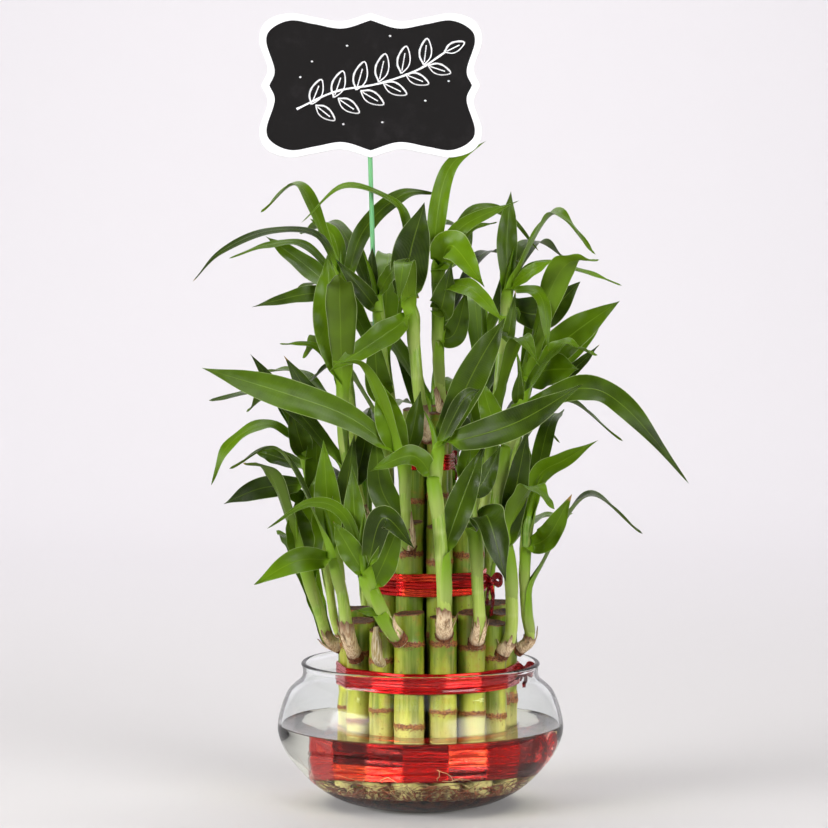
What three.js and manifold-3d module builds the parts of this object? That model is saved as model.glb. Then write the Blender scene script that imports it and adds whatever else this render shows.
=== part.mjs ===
import * as THREE from 'three';
import { mergeVertices } from 'three/addons/utils/BufferGeometryUtils.js';
import Module from 'manifold-3d';

// Lucky bamboo: three tiers of cut canes tied with red foil ribbon, leafy shoots on the canes, in a squat
// glass bowl half full of water, with a card on a stick. Millimetres, +Z up, the front faces -Y, and the
// origin is the middle of the bowl's underside.

const wasm = await Module();
wasm.setup();

// Driving dimensions
const plantX = 3.8; // the plant stands a little right of the bowl's middle
const gap = 0.3; // clearance between pieces that touch
const sliver = 0.05; // edges shorter than this are closed up after a cut or a join
const bowl = {
  wall: 2,
  sides: 24,
  // radius and height up the outside, from the foot to the rim
  outside: [[30, 0], [44, 4], [55.7, 11], [64.8, 20], [71.9, 30], [75, 42], [70.2, 58.5], [62.3, 66.8], [62.2, 75]],
};
const waterLevel = 42;
const rootTop = 13;
const caneFoot = rootTop + gap;
const caneSides = 8;
const cornerReach = 1.03; // an eight-sided cane's corners stand a little outside its round
const nodeRidge = 0.5; // how far a node ring stands out
const card = { thick: 1.2, middle: [-25.6, -21.85, 374.5] }; // the middle of its back
// The stick bends a little on its way down between the canes at the back
const stick = {
  radius: 1.25,
  line: [[-21.8, 21, 76], [-21.8, 20.5, 155], [-23, 9, 220], [-24.2, -4.5, 268], [-25.4, -13, 315], [-26.6, -20.3, 362]],
};

// The three rings of canes. Angles in degrees from the front, positive to the right.
const rings = {
  outer: {
    radius: 40,
    angles: [-90, -61, -36, -14, 11, 34, 58, 90, 116, 142, 168, 194, 219, 244],
    radii: [7, 7, 6.6, 7.7, 6.9, 7, 6.6, 7, 7.2, 7, 6.8, 7.1, 6.9, 7],
    tops: [103, 99, 96, 105, 103, 105, 98, 101, 104, 102, 105, 103, 104, 101],
    nodes: [[52, 84], [47, 82], [55, 80], [47, 89.5], [55, 90], [53, 87], [50, 80], [56, 83], [50], [85], [48], [86],
      [55], [86]],
  },
  middle: {
    radius: 23,
    angles: [-25, 15, 55, 95, 135, 175, 215, 255, 295],
    radii: [7, 6.7, 6.9, 6.7, 7, 6.8, 6.9, 6.7, 6.8],
    tops: [150, 148, 149.5, 147, 150, 148, 151, 147, 149],
    nodes: [[134], [130], [133], [131], [135], [132], [134], [131], [133]],
  },
  inner: {
    radius: 9,
    angles: [-55, 35, 125, 215],
    radii: [5.6, 5.5, 5.6, 5.5],
    tops: [208, 206, 209, 205],
    nodes: [[193], [191], [194], [192]],
  },
};

const ties = [
  { name: 'tie_lower', ring: 'outer', low: 24.6, high: 40.2, strands: 3, knot: [54.8, -9, 34], tail: [55.6, -13, 24] },
  { name: 'tie_rim', ring: 'outer', low: 63.4, high: 74.4, strands: 3, knot: [53.8, -3, 70], tail: [54, -9, 64] },
  { name: 'tie_middle', ring: 'middle', low: 112, high: 123.4, strands: 3, knot: [36.5, -3, 117], tail: [37, -9, 103] },
  { name: 'tie_upper', ring: 'inner', low: 176, high: 184, strands: 3, knot: [16, 13, 180], tail: [19, 17, 172] },
];
const tieThick = { thin: 0.9, full: 1.7, clear: 0.5 };

// The leafy shoots seen from the front, each on the cane it grew from. A leaf leaves the stem at the share
// "at" of its length and runs through the points of "to", which were placed by eye; "wide" is its width and
// "face" is how far its upper side is turned from the sky to the front. Ruled leaves fill the hidden sides.
const shoots = [
  { on: 'outer_1', stem: [[-40, 0, 82], [-48, -2, 86], [-52, -5, 98], [-57, -8, 114], [-61, -10, 129]], thick: [3.8, 2.6],
    ruled: [2, -120],
    leaves: [
      { at: 0.95, wide: 14, face: 0.9, to: [[-63, -14, 144], [-65, -12, 160]] },
      { at: 0.8, wide: 13, face: 0.8, to: [[-57, 0, 149], [-54, 4, 175]] },
    ] },
  { on: 'outer_14', stem: [[-38, 21, 80], [-45, 22, 91], [-49, 18, 116], [-53, 14, 143], [-58, 8, 170], [-62, 4, 191]],
    thick: [2.8, 2.2], ruled: [2, -140],
    leaves: [
      { at: 0.78, wide: 11, face: 0.7, to: [[-83, 0, 166], [-103, -6, 158]] },
      { at: 0.68, wide: 9, face: 0.6, to: [[-71, 6, 166], [-85, 6, 178]] },
      { at: 0.85, wide: 9, face: 0.5, to: [[-77, 14, 182], [-88, 16, 184]] },
      { at: 0.97, wide: 8, face: 0.5, to: [[-80, -2, 200], [-100, -8, 189], [-109, -10, 168]] },
      { at: 0.98, wide: 8, face: 0.6, to: [[-74, 12, 214], [-90, 16, 236]] },
      { at: 0.9, wide: 11, face: 0.9, to: [[-63, -4, 192], [-68, -8, 211]] },
      { at: 0.6, wide: 13, face: 0.9, to: [[-54, 0, 176], [-55, -4, 202]] },
    ] },
  { on: 'outer_2', stem: [[-33, -25, 79], [-37, -32, 92], [-40, -32, 112], [-43, -31, 126], [-45, -29, 139]],
    thick: [3.8, 2.8], ruled: [1, -70],
    leaves: [
      { at: 0.85, wide: 12, face: 0.8, to: [[-63, -42, 132], [-85, -46, 120]] },
      { at: 0.98, wide: 13, face: 0.9, to: [[-48, -28, 162], [-50, -26, 193]] },
      { at: 0.96, wide: 12, face: 0.8, to: [[-39, -20, 163], [-34, -16, 196]] },
    ] },
  { on: 'outer_4', stem: [[-10, -46, 91], [-17, -53, 101], [-22, -56, 111], [-26, -57, 120], [-28, -57, 128]],
    thick: [4, 3.4], ruled: [0, 0],
    leaves: [
      { at: 0.9, wide: 11, face: 0.9, to: [[-36, -60, 140], [-44, -62, 154]] },
      { at: 0.85, wide: 6, face: 0.5, to: [[-38, -50, 155], [-56, -46, 162], [-78, -50, 149]] },
      { at: 0.7, wide: 13, face: 0.9, to: [[-18, -60, 134], [-10, -58, 154]] },
      { at: 0.95, wide: 12, face: 0.7, to: [[-19, -66, 156], [-3, -72, 141]] },
      { at: 0.4, wide: 5, face: 0.6, to: [[-25, -60, 108], [-33, -62, 109]] },
      { at: 0.98, wide: 12, face: 0.85, to: [[-33, -50, 150], [-35, -44, 182]] },
    ] },
  { on: 'outer_5', stem: [[12, -44, 93], [12, -51, 105], [11, -53, 128], [9, -52, 154], [7, -50, 174], [8, -47, 191]],
    thick: [4.2, 3.2], ruled: [0, 0],
    leaves: [
      { at: 0.8, wide: 11, face: 0.6, to: [[-4, -58, 187], [-26, -62, 179]] },
      { at: 1, wide: 15, face: 0.75, to: [[46, -62, 203], [81, -66, 223]] },
      { at: 0.97, wide: 15, face: 0.8, to: [[28, -44, 230], [43, -40, 256]] },
      { at: 0.95, wide: 8, face: 0.7, to: [[21, -54, 214], [30, -56, 220]] },
      { at: 0.45, wide: 13, face: 0.8, to: [[21, -52, 164], [32, -50, 192]] },
    ] },
  { on: 'outer_6', stem: [[28, -39, 88], [30, -45, 100], [29, -46, 117], [28, -46, 138], [25, -44, 158], [24, -42, 171]],
    thick: [3.8, 2.8], ruled: [0, 0],
    leaves: [
      { at: 0.7, wide: 19, face: 0.5, to: [[34, -58, 157], [43, -64, 123]] },
      { at: 0.95, wide: 12, face: 0.8, to: [[25, -38, 181], [27, -36, 200]] },
      { at: 0.9, wide: 11, face: 0.8, to: [[32, -36, 172], [41, -30, 190]] },
    ] },
  { on: 'outer_7', stem: [[41, -25, 81], [46, -28, 91], [47, -29, 108], [45, -28, 131], [40, -28, 156], [43, -26, 182],
    [49, -22, 203], [51, -20, 213]], thick: [3.8, 3.2], ruled: [2, 70],
    leaves: [
      { at: 0.45, wide: 12, face: 0.9, to: [[49, -34, 168], [55, -34, 200]] },
      { at: 0.95, wide: 6, face: 0.9, to: [[50, -27, 217], [51, -28, 229]] },
      { at: 0.9, wide: 14, face: 0.7, to: [[83, -30, 220], [106, -34, 209], [137, -38, 171]] },
      { at: 0.75, wide: 12, face: 0.8, to: [[37, -30, 204], [30, -32, 226]] },
    ] },
  { on: 'outer_8', stem: [[50, -1, 80], [57, -4, 87], [55, -8, 101], [54, -10, 121], [55, -10, 140], [57, -10, 155]],
    thick: [3.2, 2.4], ruled: [2, 110],
    leaves: [
      { at: 0.75, wide: 12, face: 0.85, to: [[66, -22, 143], [78, -26, 165]] },
      { at: 1, wide: 10, face: 0.7, to: [[62, -12, 174], [75, -14, 182], [92, -16, 192]] },
      { at: 0.9, wide: 12, face: 0.8, to: [[54, 2, 170], [55, 6, 196]] },
    ] },
  { on: 'middle_1', stem: [[-6, -26, 135], [-6, -30, 144], [-8, -31, 162], [-8, -31, 178], [-10, -33, 186]],
    thick: [3.5, 2.8], ruled: [1, -20],
    leaves: [
      { at: 0.97, wide: 14.5, face: 0.85, peak: 0.68, to: [[-36, -43, 205], [-66, -52, 217], [-110, -60, 231]] },
      { at: 0.9, wide: 14, face: 0.85, to: [[-16, -40, 204], [-21, -38, 224]] },
      { at: 0.85, wide: 11, face: 0.8, to: [[-4, -27, 198], [0, -24, 218]] },
      { at: 0.3, wide: 13, face: 0.85, to: [[-20, -34, 168], [-23, -34, 198]] },
    ] },
  { on: 'middle_9', stem: [[-23, -11, 141], [-30, -16, 152], [-36, -20, 167], [-39, -22, 187], [-40, -22, 208],
    [-40, -22, 221]], thick: [3, 2.6], ruled: [2, -60],
    leaves: [
      { at: 1, wide: 18, face: 0.9, to: [[-46, -26, 257], [-48, -22, 288]] },
      { at: 0.97, wide: 4, face: 0.4, to: [[-53, -16, 240], [-73, -16, 242]] },
      { at: 0.8, wide: 10, face: 0.7, to: [[-56, -14, 215], [-71, -12, 236]] },
      { at: 0.4, wide: 12, face: 0.85, to: [[-30, -30, 184], [-26, -32, 210]] },
    ] },
  { on: 'middle_8', stem: [[-25, 7, 140], [-32, 8, 159], [-35, 6, 186], [-37, 2, 212], [-38, -4, 238], [-39, -8, 259],
    [-41, -10, 275]], thick: [3, 2.4], ruled: [2, -125],
    leaves: [
      { at: 1, wide: 6, face: 0.5, to: [[-53, -16, 298], [-79, -20, 300], [-103, -24, 289], [-117, -26, 274]] },
      { at: 0.97, wide: 5.5, face: 0.5, to: [[-60, 2, 293], [-80, 0, 293], [-100, -2, 286]] },
      { at: 0.9, wide: 11, face: 0.6, to: [[-62, 14, 284], [-82, 20, 298]] },
      { at: 0.95, wide: 8, face: 0.7, to: [[-45, 0, 297], [-58, 4, 307]] },
      { at: 0.92, wide: 9, face: 0.6, to: [[-30, -8, 300], [-10, -6, 319], [8, -4, 320]] },
      { at: 0.9, wide: 8.5, face: 0.75, to: [[-57, -28, 268], [-87, -36, 261]] },
    ] },
  { on: 'inner_2', stem: [[5, -13, 192], [2, -17, 200], [-1, -18, 218], [-3, -17, 239], [-4, -15, 254], [-7, -14, 262]],
    thick: [3.6, 3.2], ruled: [1, 20],
    leaves: [
      { at: 0.85, wide: 13, face: 0.8, to: [[-22, -27, 245], [-47, -36, 228]] },
      { at: 1, wide: 19, face: 0.9, to: [[-5, -20, 288], [2, -18, 315]] },
      { at: 0.98, wide: 6, face: 0.5, to: [[-7, -4, 304], [-18, -6, 318], [-40, -10, 323], [-61, -14, 304]] },
    ] },
  { on: 'inner_4', stem: [[-7, 8, 193], [-15, 2, 210], [-19, -4, 233], [-21, -8, 252], [-23, -10, 267]], thick: [3, 2.4],
    ruled: [3, 200],
    leaves: [
      { at: 0.85, wide: 8.5, face: 0.8, to: [[-29, -18, 268], [-44, -20, 286]] },
      { at: 1, wide: 5, face: 0.8, to: [[-25, -12, 281], [-25, -12, 292]] },
      { at: 0.98, wide: 8.5, face: 0.6, to: [[-16, -22, 278], [-5, -28, 287]] },
      { at: 0.25, wide: 13, face: 0.85, to: [[-22, -12, 222], [-24, -16, 250]] },
    ] },
  { on: 'inner_3', stem: [[13, 3, 196], [11, -2, 212], [9, -3, 233], [9, -5, 254], [9, -6, 272], [9, -6, 284]],
    thick: [3.2, 2.6], ruled: [2, 150],
    leaves: [
      { at: 0.95, wide: 9, face: 0.8, to: [[8, -10, 303], [15, -8, 333], [34, -6, 347]] },
      { at: 0.98, wide: 6, face: 0.4, to: [[26, 0, 310], [44, 4, 310], [62, 6, 290]] },
      { at: 0.93, wide: 8, face: 0.6, to: [[21, -14, 302], [51, -12, 316]] },
      { at: 0.9, wide: 16, face: 0.7, to: [[16, -20, 293], [33, -26, 271]] },
      { at: 0.9, wide: 9, face: 0.8, to: [[22, 10, 293], [25, 12, 313]] },
      { at: 0.8, wide: 10, face: 0.7, to: [[25, -34, 271], [43, -38, 253]] },
      { at: 0.88, wide: 4, face: 0.5, to: [[25, -2, 300], [40, -2, 305]] },
      { at: 0.5, wide: 12, face: 0.8, to: [[18, -8, 248], [24, -12, 270]] },
      { at: 0.65, wide: 13, face: 0.85, to: [[11, -18, 262], [16, -20, 284]] },
    ] },
  { on: 'middle_3', stem: [[27, -14, 141], [33, -16, 158], [36, -14, 182], [39, -12, 207], [42, -10, 239], [44, -8, 259],
    [45, -8, 272]], thick: [3, 2.4], ruled: [2, 60],
    leaves: [
      { at: 0.985, wide: 10, face: 0.85, to: [[45, -6, 298], [47, -4, 321]] },
      { at: 0.85, wide: 17, face: 0.8, to: [[65, 4, 258], [84, 8, 274]] },
      { at: 0.97, wide: 8, face: 0.5, to: [[62, -14, 267], [66, -20, 238]] },
      { at: 1, wide: 5, face: 0.4, to: [[61, -10, 284], [86, -14, 279], [104, -16, 272]] },
      { at: 0.96, wide: 7, face: 0.6, to: [[56, -22, 279], [68, -24, 285]] },
      { at: 0.8, wide: 7, face: 0.8, to: [[45, -22, 247], [49, -22, 270]] },
      { at: 0.4, wide: 12, face: 0.8, to: [[32, -20, 208], [27, -24, 232]] },
    ] },
  { on: 'middle_4', stem: [[30, 5, 138], [41, 8, 156], [48, 8, 180], [53, 4, 207], [55, 0, 225]], thick: [3, 2.4],
    ruled: [3, 120],
    leaves: [
      { at: 1, wide: 20, face: 0.7, to: [[66, -14, 229], [82, -18, 229]] },
      { at: 0.98, wide: 16, face: 0.8, to: [[78, -4, 246], [104, -2, 264]] },
      { at: 0.93, wide: 14, face: 0.6, to: [[80, 14, 241], [98, 20, 257]] },
      { at: 0.9, wide: 7, face: 0.5, to: [[78, 4, 227], [94, 6, 241]] },
    ] },
];

// Shoots on the far side, all of whose leaves follow the rule: how far below the cane's top they start,
// how tall they are and how many leaves they bear.
const farShoots = [
  { on: 'outer_10', below: 16, tall: 96, count: 4 },
  { on: 'outer_11', below: 14, tall: 78, count: 4 },
  { on: 'outer_13', below: 18, tall: 104, count: 4 },
  { on: 'middle_5', below: 14, tall: 108, count: 5 },
  { on: 'middle_6', below: 12, tall: 84, count: 5 },
  { on: 'middle_7', below: 14, tall: 120, count: 6 },
];

const stub = { on: 'outer_3', stem: [[-20, -37, 79], [-22, -41, 82], [-22.5, -42, 90], [-22.8, -42, 98]], thick: [3, 3] };

// A leaf that would touch another piece tries these moves of its tip in turn: sideways, then upwards.
const tipMoves = [[0, 0], [6, 0], [-6, 0], [0, 5], [12, 0], [-12, 0], [6, 5], [-6, 5], [0, -5], [18, 0], [-18, 0],
  [12, 8], [-12, 8], [24, 4], [-24, 4], [30, 8], [-30, 8], [10, 16], [-10, 16]];

const stemSides = 5;
const stemStep = 20; // length of stem between two sections
const stemTip = 0.7; // how much of its width a stem keeps at its tip
const widen = 1.12; // a blade is wider than it looks, because of its fold and its turn
const bladeThick = 0.9;
const bladeFold = 0.2; // depth of the fold along the midrib, as a share of half the width
const bladeSteps = [0, 0.2, 0.46, 0.76];
const longBladeSteps = [0, 0.16, 0.34, 0.54, 0.72, 0.88];

const up = new THREE.Vector3(0, 0, 1);
const front = new THREE.Vector3(0, -1, 0);

// A direction in the ground plane, in degrees from the front and positive to the right
function heading(angle) {
  const a = THREE.MathUtils.degToRad(angle);
  return new THREE.Vector3(Math.sin(a), -Math.cos(a), 0);
}

// Seeded draws from 0 to 1, the same in every build
function drawFrom(seed) {
  let state = seed;
  return () => {
    state = (state * 1664525 + 1013904223) % 4294967296;
    return state / 4294967296;
  };
}

function solidOf(geometry) {
  const bare = geometry.clone();
  bare.deleteAttribute('normal');
  bare.deleteAttribute('uv');
  const merged = mergeVertices(bare, 1e-4);
  return new wasm.Manifold(new wasm.Mesh({
    numProp: 3,
    vertProperties: new Float32Array(merged.attributes.position.array),
    triVerts: new Uint32Array(merged.index.array),
  }));
}

function solidFrom(points, faces) {
  return new wasm.Manifold(new wasm.Mesh({
    numProp: 3,
    vertProperties: new Float32Array(points.flatMap((p) => [p.x, p.y, p.z])),
    triVerts: new Uint32Array(faces.flat()),
  }));
}

function meshOf(name, solid, colour, roughness, metalness = 0) {
  const { vertProperties, triVerts } = solid.getMesh();
  const geometry = new THREE.BufferGeometry();
  geometry.setAttribute('position', new THREE.BufferAttribute(new Float32Array(vertProperties), 3));
  geometry.setIndex(new THREE.BufferAttribute(new Uint32Array(triVerts), 1));
  geometry.computeVertexNormals();
  const mesh = new THREE.Mesh(geometry, new THREE.MeshStandardMaterial({ color: colour, roughness, metalness }));
  mesh.name = name;
  return mesh;
}

// The largest of a solid's bodies, with any loose scrap or sealed hollow left out
function mainBody(solid) {
  const { vertProperties, triVerts } = solid.simplify(sliver).getMesh();
  const bodies = new wasm.Manifold(new wasm.Mesh({ numProp: 3, vertProperties, triVerts })).decompose();
  return bodies.reduce((best, body) => (body.volume() > best.volume() ? body : best));
}

// A closed skin over rings of points that all turn the same way, with a flat cap at each end
function loft(ringsOfPoints) {
  const count = ringsOfPoints[0].length;
  const points = ringsOfPoints.flat();
  const faces = [];
  for (let i = 0; i + 1 < ringsOfPoints.length; i += 1) {
    for (let j = 0; j < count; j += 1) {
      const a = i * count + j;
      const b = i * count + ((j + 1) % count);
      faces.push([a, b, b + count], [a, b + count, a + count]);
    }
  }
  const last = points.length - count;
  for (let j = 1; j + 1 < count; j += 1) {
    faces.push([0, j + 1, j], [last, last + j, last + j + 1]);
  }
  return solidFrom(points, faces);
}

// A round body about +Z from a profile of [radius, height] that starts and ends on the axis
function lathed(profile, sides) {
  const geometry = new THREE.LatheGeometry(profile.map(([r, z]) => new THREE.Vector2(r, z)), sides);
  geometry.rotateX(Math.PI / 2);
  return solidOf(geometry);
}

// The bowl

// The profile moved inwards by a distance, square to itself
function insetProfile(profile, inset) {
  return profile.map(([r, z], i) => {
    const [r0, z0] = profile[Math.max(i - 1, 0)];
    const [r1, z1] = profile[Math.min(i + 1, profile.length - 1)];
    const length = Math.hypot(r1 - r0, z1 - z0);
    return [r - (inset * (z1 - z0)) / length, z + (inset * (r1 - r0)) / length];
  });
}

const insideProfile = (inset) => {
  const inner = insetProfile(bowl.outside, bowl.wall + inset);
  inner[0] = [inner[0][0], bowl.wall + inset];
  inner[inner.length - 1] = [inner[inner.length - 1][0], bowl.outside[bowl.outside.length - 1][1]];
  return inner;
};

// Radius of a profile at a height, and its height at a radius on the way up to the widest point
function radiusAt(profile, height) {
  const i = profile.findIndex(([, z]) => z >= height);
  const [[r0, z0], [r1, z1]] = [profile[i - 1], profile[i]];
  return r0 + ((r1 - r0) * (height - z0)) / (z1 - z0);
}

function heightAt(profile, radius) {
  const i = profile.findIndex(([r]) => r >= radius);
  if (i <= 0) return profile[0][1];
  const [[r0, z0], [r1, z1]] = [profile[i - 1], profile[i]];
  return z0 + ((z1 - z0) * (radius - r0)) / (r1 - r0);
}

function bowlSolid() {
  const inside = insideProfile(0);
  return lathed([[0, 0], ...bowl.outside, ...inside.reverse(), [0, bowl.wall]], bowl.sides);
}

// A filling of the bowl between two heights, clear of the glass
function fillingSolid(low, high) {
  const inside = insideProfile(gap);
  const between = inside.filter(([, z]) => z > low + 0.5 && z < high - 0.5);
  const start = low <= inside[0][1] ? inside[0] : [radiusAt(inside, low), low];
  const profile = [[0, start[1]], start, ...between, [radiusAt(inside, high), high], [0, high]];
  return lathed(profile, bowl.sides);
}

// Canes

function canesOf(ringName) {
  const ring = rings[ringName];
  return ring.angles.map((angle, i) => {
    const out = heading(angle);
    const centre = out.clone().multiplyScalar(ring.radius).setX(out.x * ring.radius + plantX);
    const reach = Math.hypot(centre.x, centre.y) + ring.radii[i] + gap;
    return {
      name: `${ringName}_${i + 1}`,
      angle,
      out,
      centre,
      radius: ring.radii[i],
      foot: Math.max(caneFoot, heightAt(insideProfile(gap), reach)),
      top: ring.tops[i],
      nodes: ring.nodes[i],
    };
  });
}

const canes = { outer: canesOf('outer'), middle: canesOf('middle'), inner: canesOf('inner') };
const everyCane = [...canes.outer, ...canes.middle, ...canes.inner];

// A round section of a cane, level or sloping by [to the right, to the back]
function caneRing(cane, height, radius, [right, back] = [0, 0]) {
  const points = [];
  for (let j = 0; j < caneSides; j += 1) {
    const a = ((j + 0.5) / caneSides) * 2 * Math.PI;
    const x = radius * Math.cos(a);
    const y = radius * Math.sin(a);
    points.push(new THREE.Vector3(cane.centre.x + x, cane.centre.y + y, height + right * x + back * y));
  }
  return points;
}

// The cut tops slope up to the back, each a little differently
const topSlope = (cane) => [0.07 * Math.sin(cane.angle * 1.7), 0.07 + 0.05 * Math.sin(cane.angle)];

// grow is 0 for the cane itself, or the clearance that its neighbours keep
function caneSolid(cane, grow = 0) {
  const reach = cane.radius * cornerReach + grow;
  const sections = [caneRing(cane, cane.foot - grow, reach)];
  cane.nodes.forEach((z) => {
    sections.push(caneRing(cane, z - 1.6, reach));
    sections.push(caneRing(cane, z, reach + nodeRidge));
    sections.push(caneRing(cane, z + 1.2, reach));
  });
  sections.push(caneRing(cane, cane.top + grow, reach, topSlope(cane)));
  return loft(sections);
}

// A plain round hole in the water for a cane to stand in
function caneHole(cane) {
  const reach = cane.radius * cornerReach + gap;
  return loft([caneRing(cane, cane.foot - gap - 1, reach), caneRing(cane, waterLevel + 1, reach)]);
}

// Foil ties

// The line of a ribbon drawn tight round a ring of canes, at a distance from them
function ribbonPath(ring, distance) {
  const normals = ring.map((cane, i) => {
    const next = ring[(i + 1) % ring.length];
    const along = next.centre.clone().sub(cane.centre);
    const spread = along.length();
    along.normalize();
    const lean = (cane.radius - next.radius) / spread;
    const square = new THREE.Vector3(along.y, -along.x, 0);
    return along.multiplyScalar(lean).add(square.multiplyScalar(Math.sqrt(1 - lean * lean)));
  });
  const turns = ring.length > 6 ? 1 : 3;
  return ring.flatMap((cane, i) => {
    const from = normals[(i + ring.length - 1) % ring.length];
    const to = normals[i];
    const points = [];
    for (let j = 0; j <= turns; j += 1) {
      const n = from.clone().lerp(to, j / turns).normalize();
      points.push(cane.centre.clone().addScaledVector(n, cane.radius + distance));
    }
    return points;
  });
}

// The wound strands show as ridges one above another
function tieProfile(tie) {
  const pitch = (tie.high - tie.low) / tie.strands;
  const profile = [[tieThick.clear, tie.low]];
  for (let s = 0; s < tie.strands; s += 1) {
    profile.push([tieThick.clear + tieThick.thin, tie.low + (s + 0.06) * pitch]);
    profile.push([tieThick.clear + tieThick.full, tie.low + (s + 0.5) * pitch]);
  }
  profile.push([tieThick.clear + tieThick.thin, tie.high - 0.06 * pitch], [tieThick.clear, tie.high]);
  return profile;
}

function ringSolid(profile, ring) {
  const loops = profile.map(([distance, z]) => ribbonPath(ring, distance).map((p) => p.setZ(z)));
  const count = loops[0].length;
  const faces = [];
  loops.forEach((loop, i) => {
    const a = i * count;
    const b = ((i + 1) % loops.length) * count;
    for (let j = 0; j < count; j += 1) {
      const k = (j + 1) % count;
      faces.push([a + j, a + k, b + k], [a + j, b + k, b + j]);
    }
  });
  return solidFrom(loops.flat(), faces);
}

function knotSolid(tie) {
  const geometry = new THREE.IcosahedronGeometry(2.9, 0);
  geometry.scale(0.8, 1.2, 1);
  geometry.translate(...tie.knot);
  const [x, y, z] = tie.knot;
  const [tx, ty, tz] = tie.tail;
  const tail = [0, 0.5, 1].map((u) => {
    const middle = new THREE.Vector3(x, y, z).lerp(new THREE.Vector3(tx, ty, tz), u);
    const half = 1.5 - 0.7 * u;
    return [[-0.4, -half], [0.4, -half], [0.4, half], [-0.4, half]].map(
      ([dx, dy]) => middle.clone().add(new THREE.Vector3(dx, dy, 0)),
    );
  });
  return solidOf(geometry).add(loft(tail.reverse()));
}

function tieSolid(tie) {
  return ringSolid(tieProfile(tie), canes[tie.ring]).add(knotSolid(tie));
}

// A plain ring that a tie lies inside, for cutting the water
function tieHole(tie) {
  const { clear, full } = tieThick;
  const profile = [[clear - 1, tie.low - gap], [clear + full + gap, tie.low - gap],
    [clear + full + gap, tie.high + gap], [clear - 1, tie.high + gap]];
  const knot = new THREE.IcosahedronGeometry(3.6, 0);
  knot.scale(0.85, 1.2, 1);
  knot.translate(...tie.knot);
  const tail = new THREE.BoxGeometry(2.4, 8, 14);
  tail.translate(...tie.tail.map((v, i) => (v + tie.knot[i]) / 2));
  return ringSolid(profile, canes[tie.ring]).add(solidOf(knot)).add(solidOf(tail));
}

// Card and stick

// A quarter of the card's outline, from the point at the top to the point at the side
const cardQuarter = [[0, 36.8], [14.8, 32.7], [29, 34.8], [42, 36.7], [53.5, 32.5], [57, 22.6], [52.8, 8.8], [56, 0]];

function cardOutline() {
  const quarter = new THREE.SplineCurve(cardQuarter.map(([x, z]) => new THREE.Vector2(x, z))).getPoints(8);
  const half = [...quarter, ...quarter.slice(0, -1).reverse().map((p) => new THREE.Vector2(p.x, -p.y))];
  const other = half.slice(1, -1).reverse().map((p) => new THREE.Vector2(-p.x, p.y));
  return [...half, ...other];
}

function cardSolid() {
  const geometry = new THREE.ExtrudeGeometry(new THREE.Shape(cardOutline()), { depth: card.thick, bevelEnabled: false });
  geometry.rotateX(Math.PI / 2);
  geometry.translate(...card.middle);
  return solidOf(geometry);
}

function stickSolid(grow = 0) {
  const section = (point) => Array.from({ length: 8 }, (_, j) => {
    const a = (j / 8) * 2 * Math.PI;
    const reach = stick.radius + grow;
    return new THREE.Vector3(...point).add(new THREE.Vector3(reach * Math.cos(a), reach * Math.sin(a), 0));
  });
  return loft(stick.line.map(section));
}

// Leafy shoots

const curveThrough = (points) => new THREE.CatmullRomCurve3(points, false, 'catmullrom', 0.5);

function stemCurve(shoot) {
  return curveThrough(shoot.stem.map((p) => new THREE.Vector3(...p)));
}

// Thicker at the papery foot, then tapering to the top
function stemSolid(shoot, grow = 0) {
  const curve = stemCurve(shoot);
  const [low, high] = shoot.thick;
  const steps = Math.max(5, Math.round(curve.getLength() / stemStep));
  const sections = [];
  for (let i = 0; i <= steps; i += 1) {
    const u = i / steps;
    const middle = curve.getPoint(u);
    const along = curve.getTangent(u);
    const side = new THREE.Vector3().crossVectors(along, front).normalize();
    const other = new THREE.Vector3().crossVectors(along, side);
    const foot = 1 + 0.25 * Math.exp(-u * 8);
    const radius = (low + (high - low) * u) * foot * (i === steps ? stemTip : 1) + grow;
    sections.push(Array.from({ length: stemSides }, (_, j) => {
      const a = (j / stemSides) * 2 * Math.PI;
      return middle.clone().addScaledVector(side, radius * Math.cos(a)).addScaledVector(other, radius * Math.sin(a));
    }));
  }
  return loft(sections);
}

function bladeWidth(u, peak) {
  if (u < peak) return 0.36 + 0.64 * Math.sin(((u / peak) * Math.PI) / 2);
  return 1 - ((u - peak) / (1 - peak)) ** 1.8;
}

// The four points of a blade's section: left edge, upper fold, right edge, lower fold
function bladeSection(leaf, curve, u, grow) {
  const middle = curve.getPoint(u);
  const along = curve.getTangent(u);
  const facing = up.clone().multiplyScalar(1 - leaf.face).addScaledVector(leaf.facing, leaf.face);
  const normal = facing.addScaledVector(along, -facing.dot(along)).normalize();
  const side = new THREE.Vector3().crossVectors(along, normal);
  const half = (leaf.wide / 2) * widen * bladeWidth(u, leaf.peak ?? 0.42) + grow;
  const sink = -bladeFold * half;
  const point = (across, rise) => middle.clone().addScaledVector(side, across).addScaledVector(normal, rise);
  const thick = bladeThick / 2 + grow;
  return [point(-half, 0), point(0, sink + thick), point(half, 0), point(0, sink - thick)];
}

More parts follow.
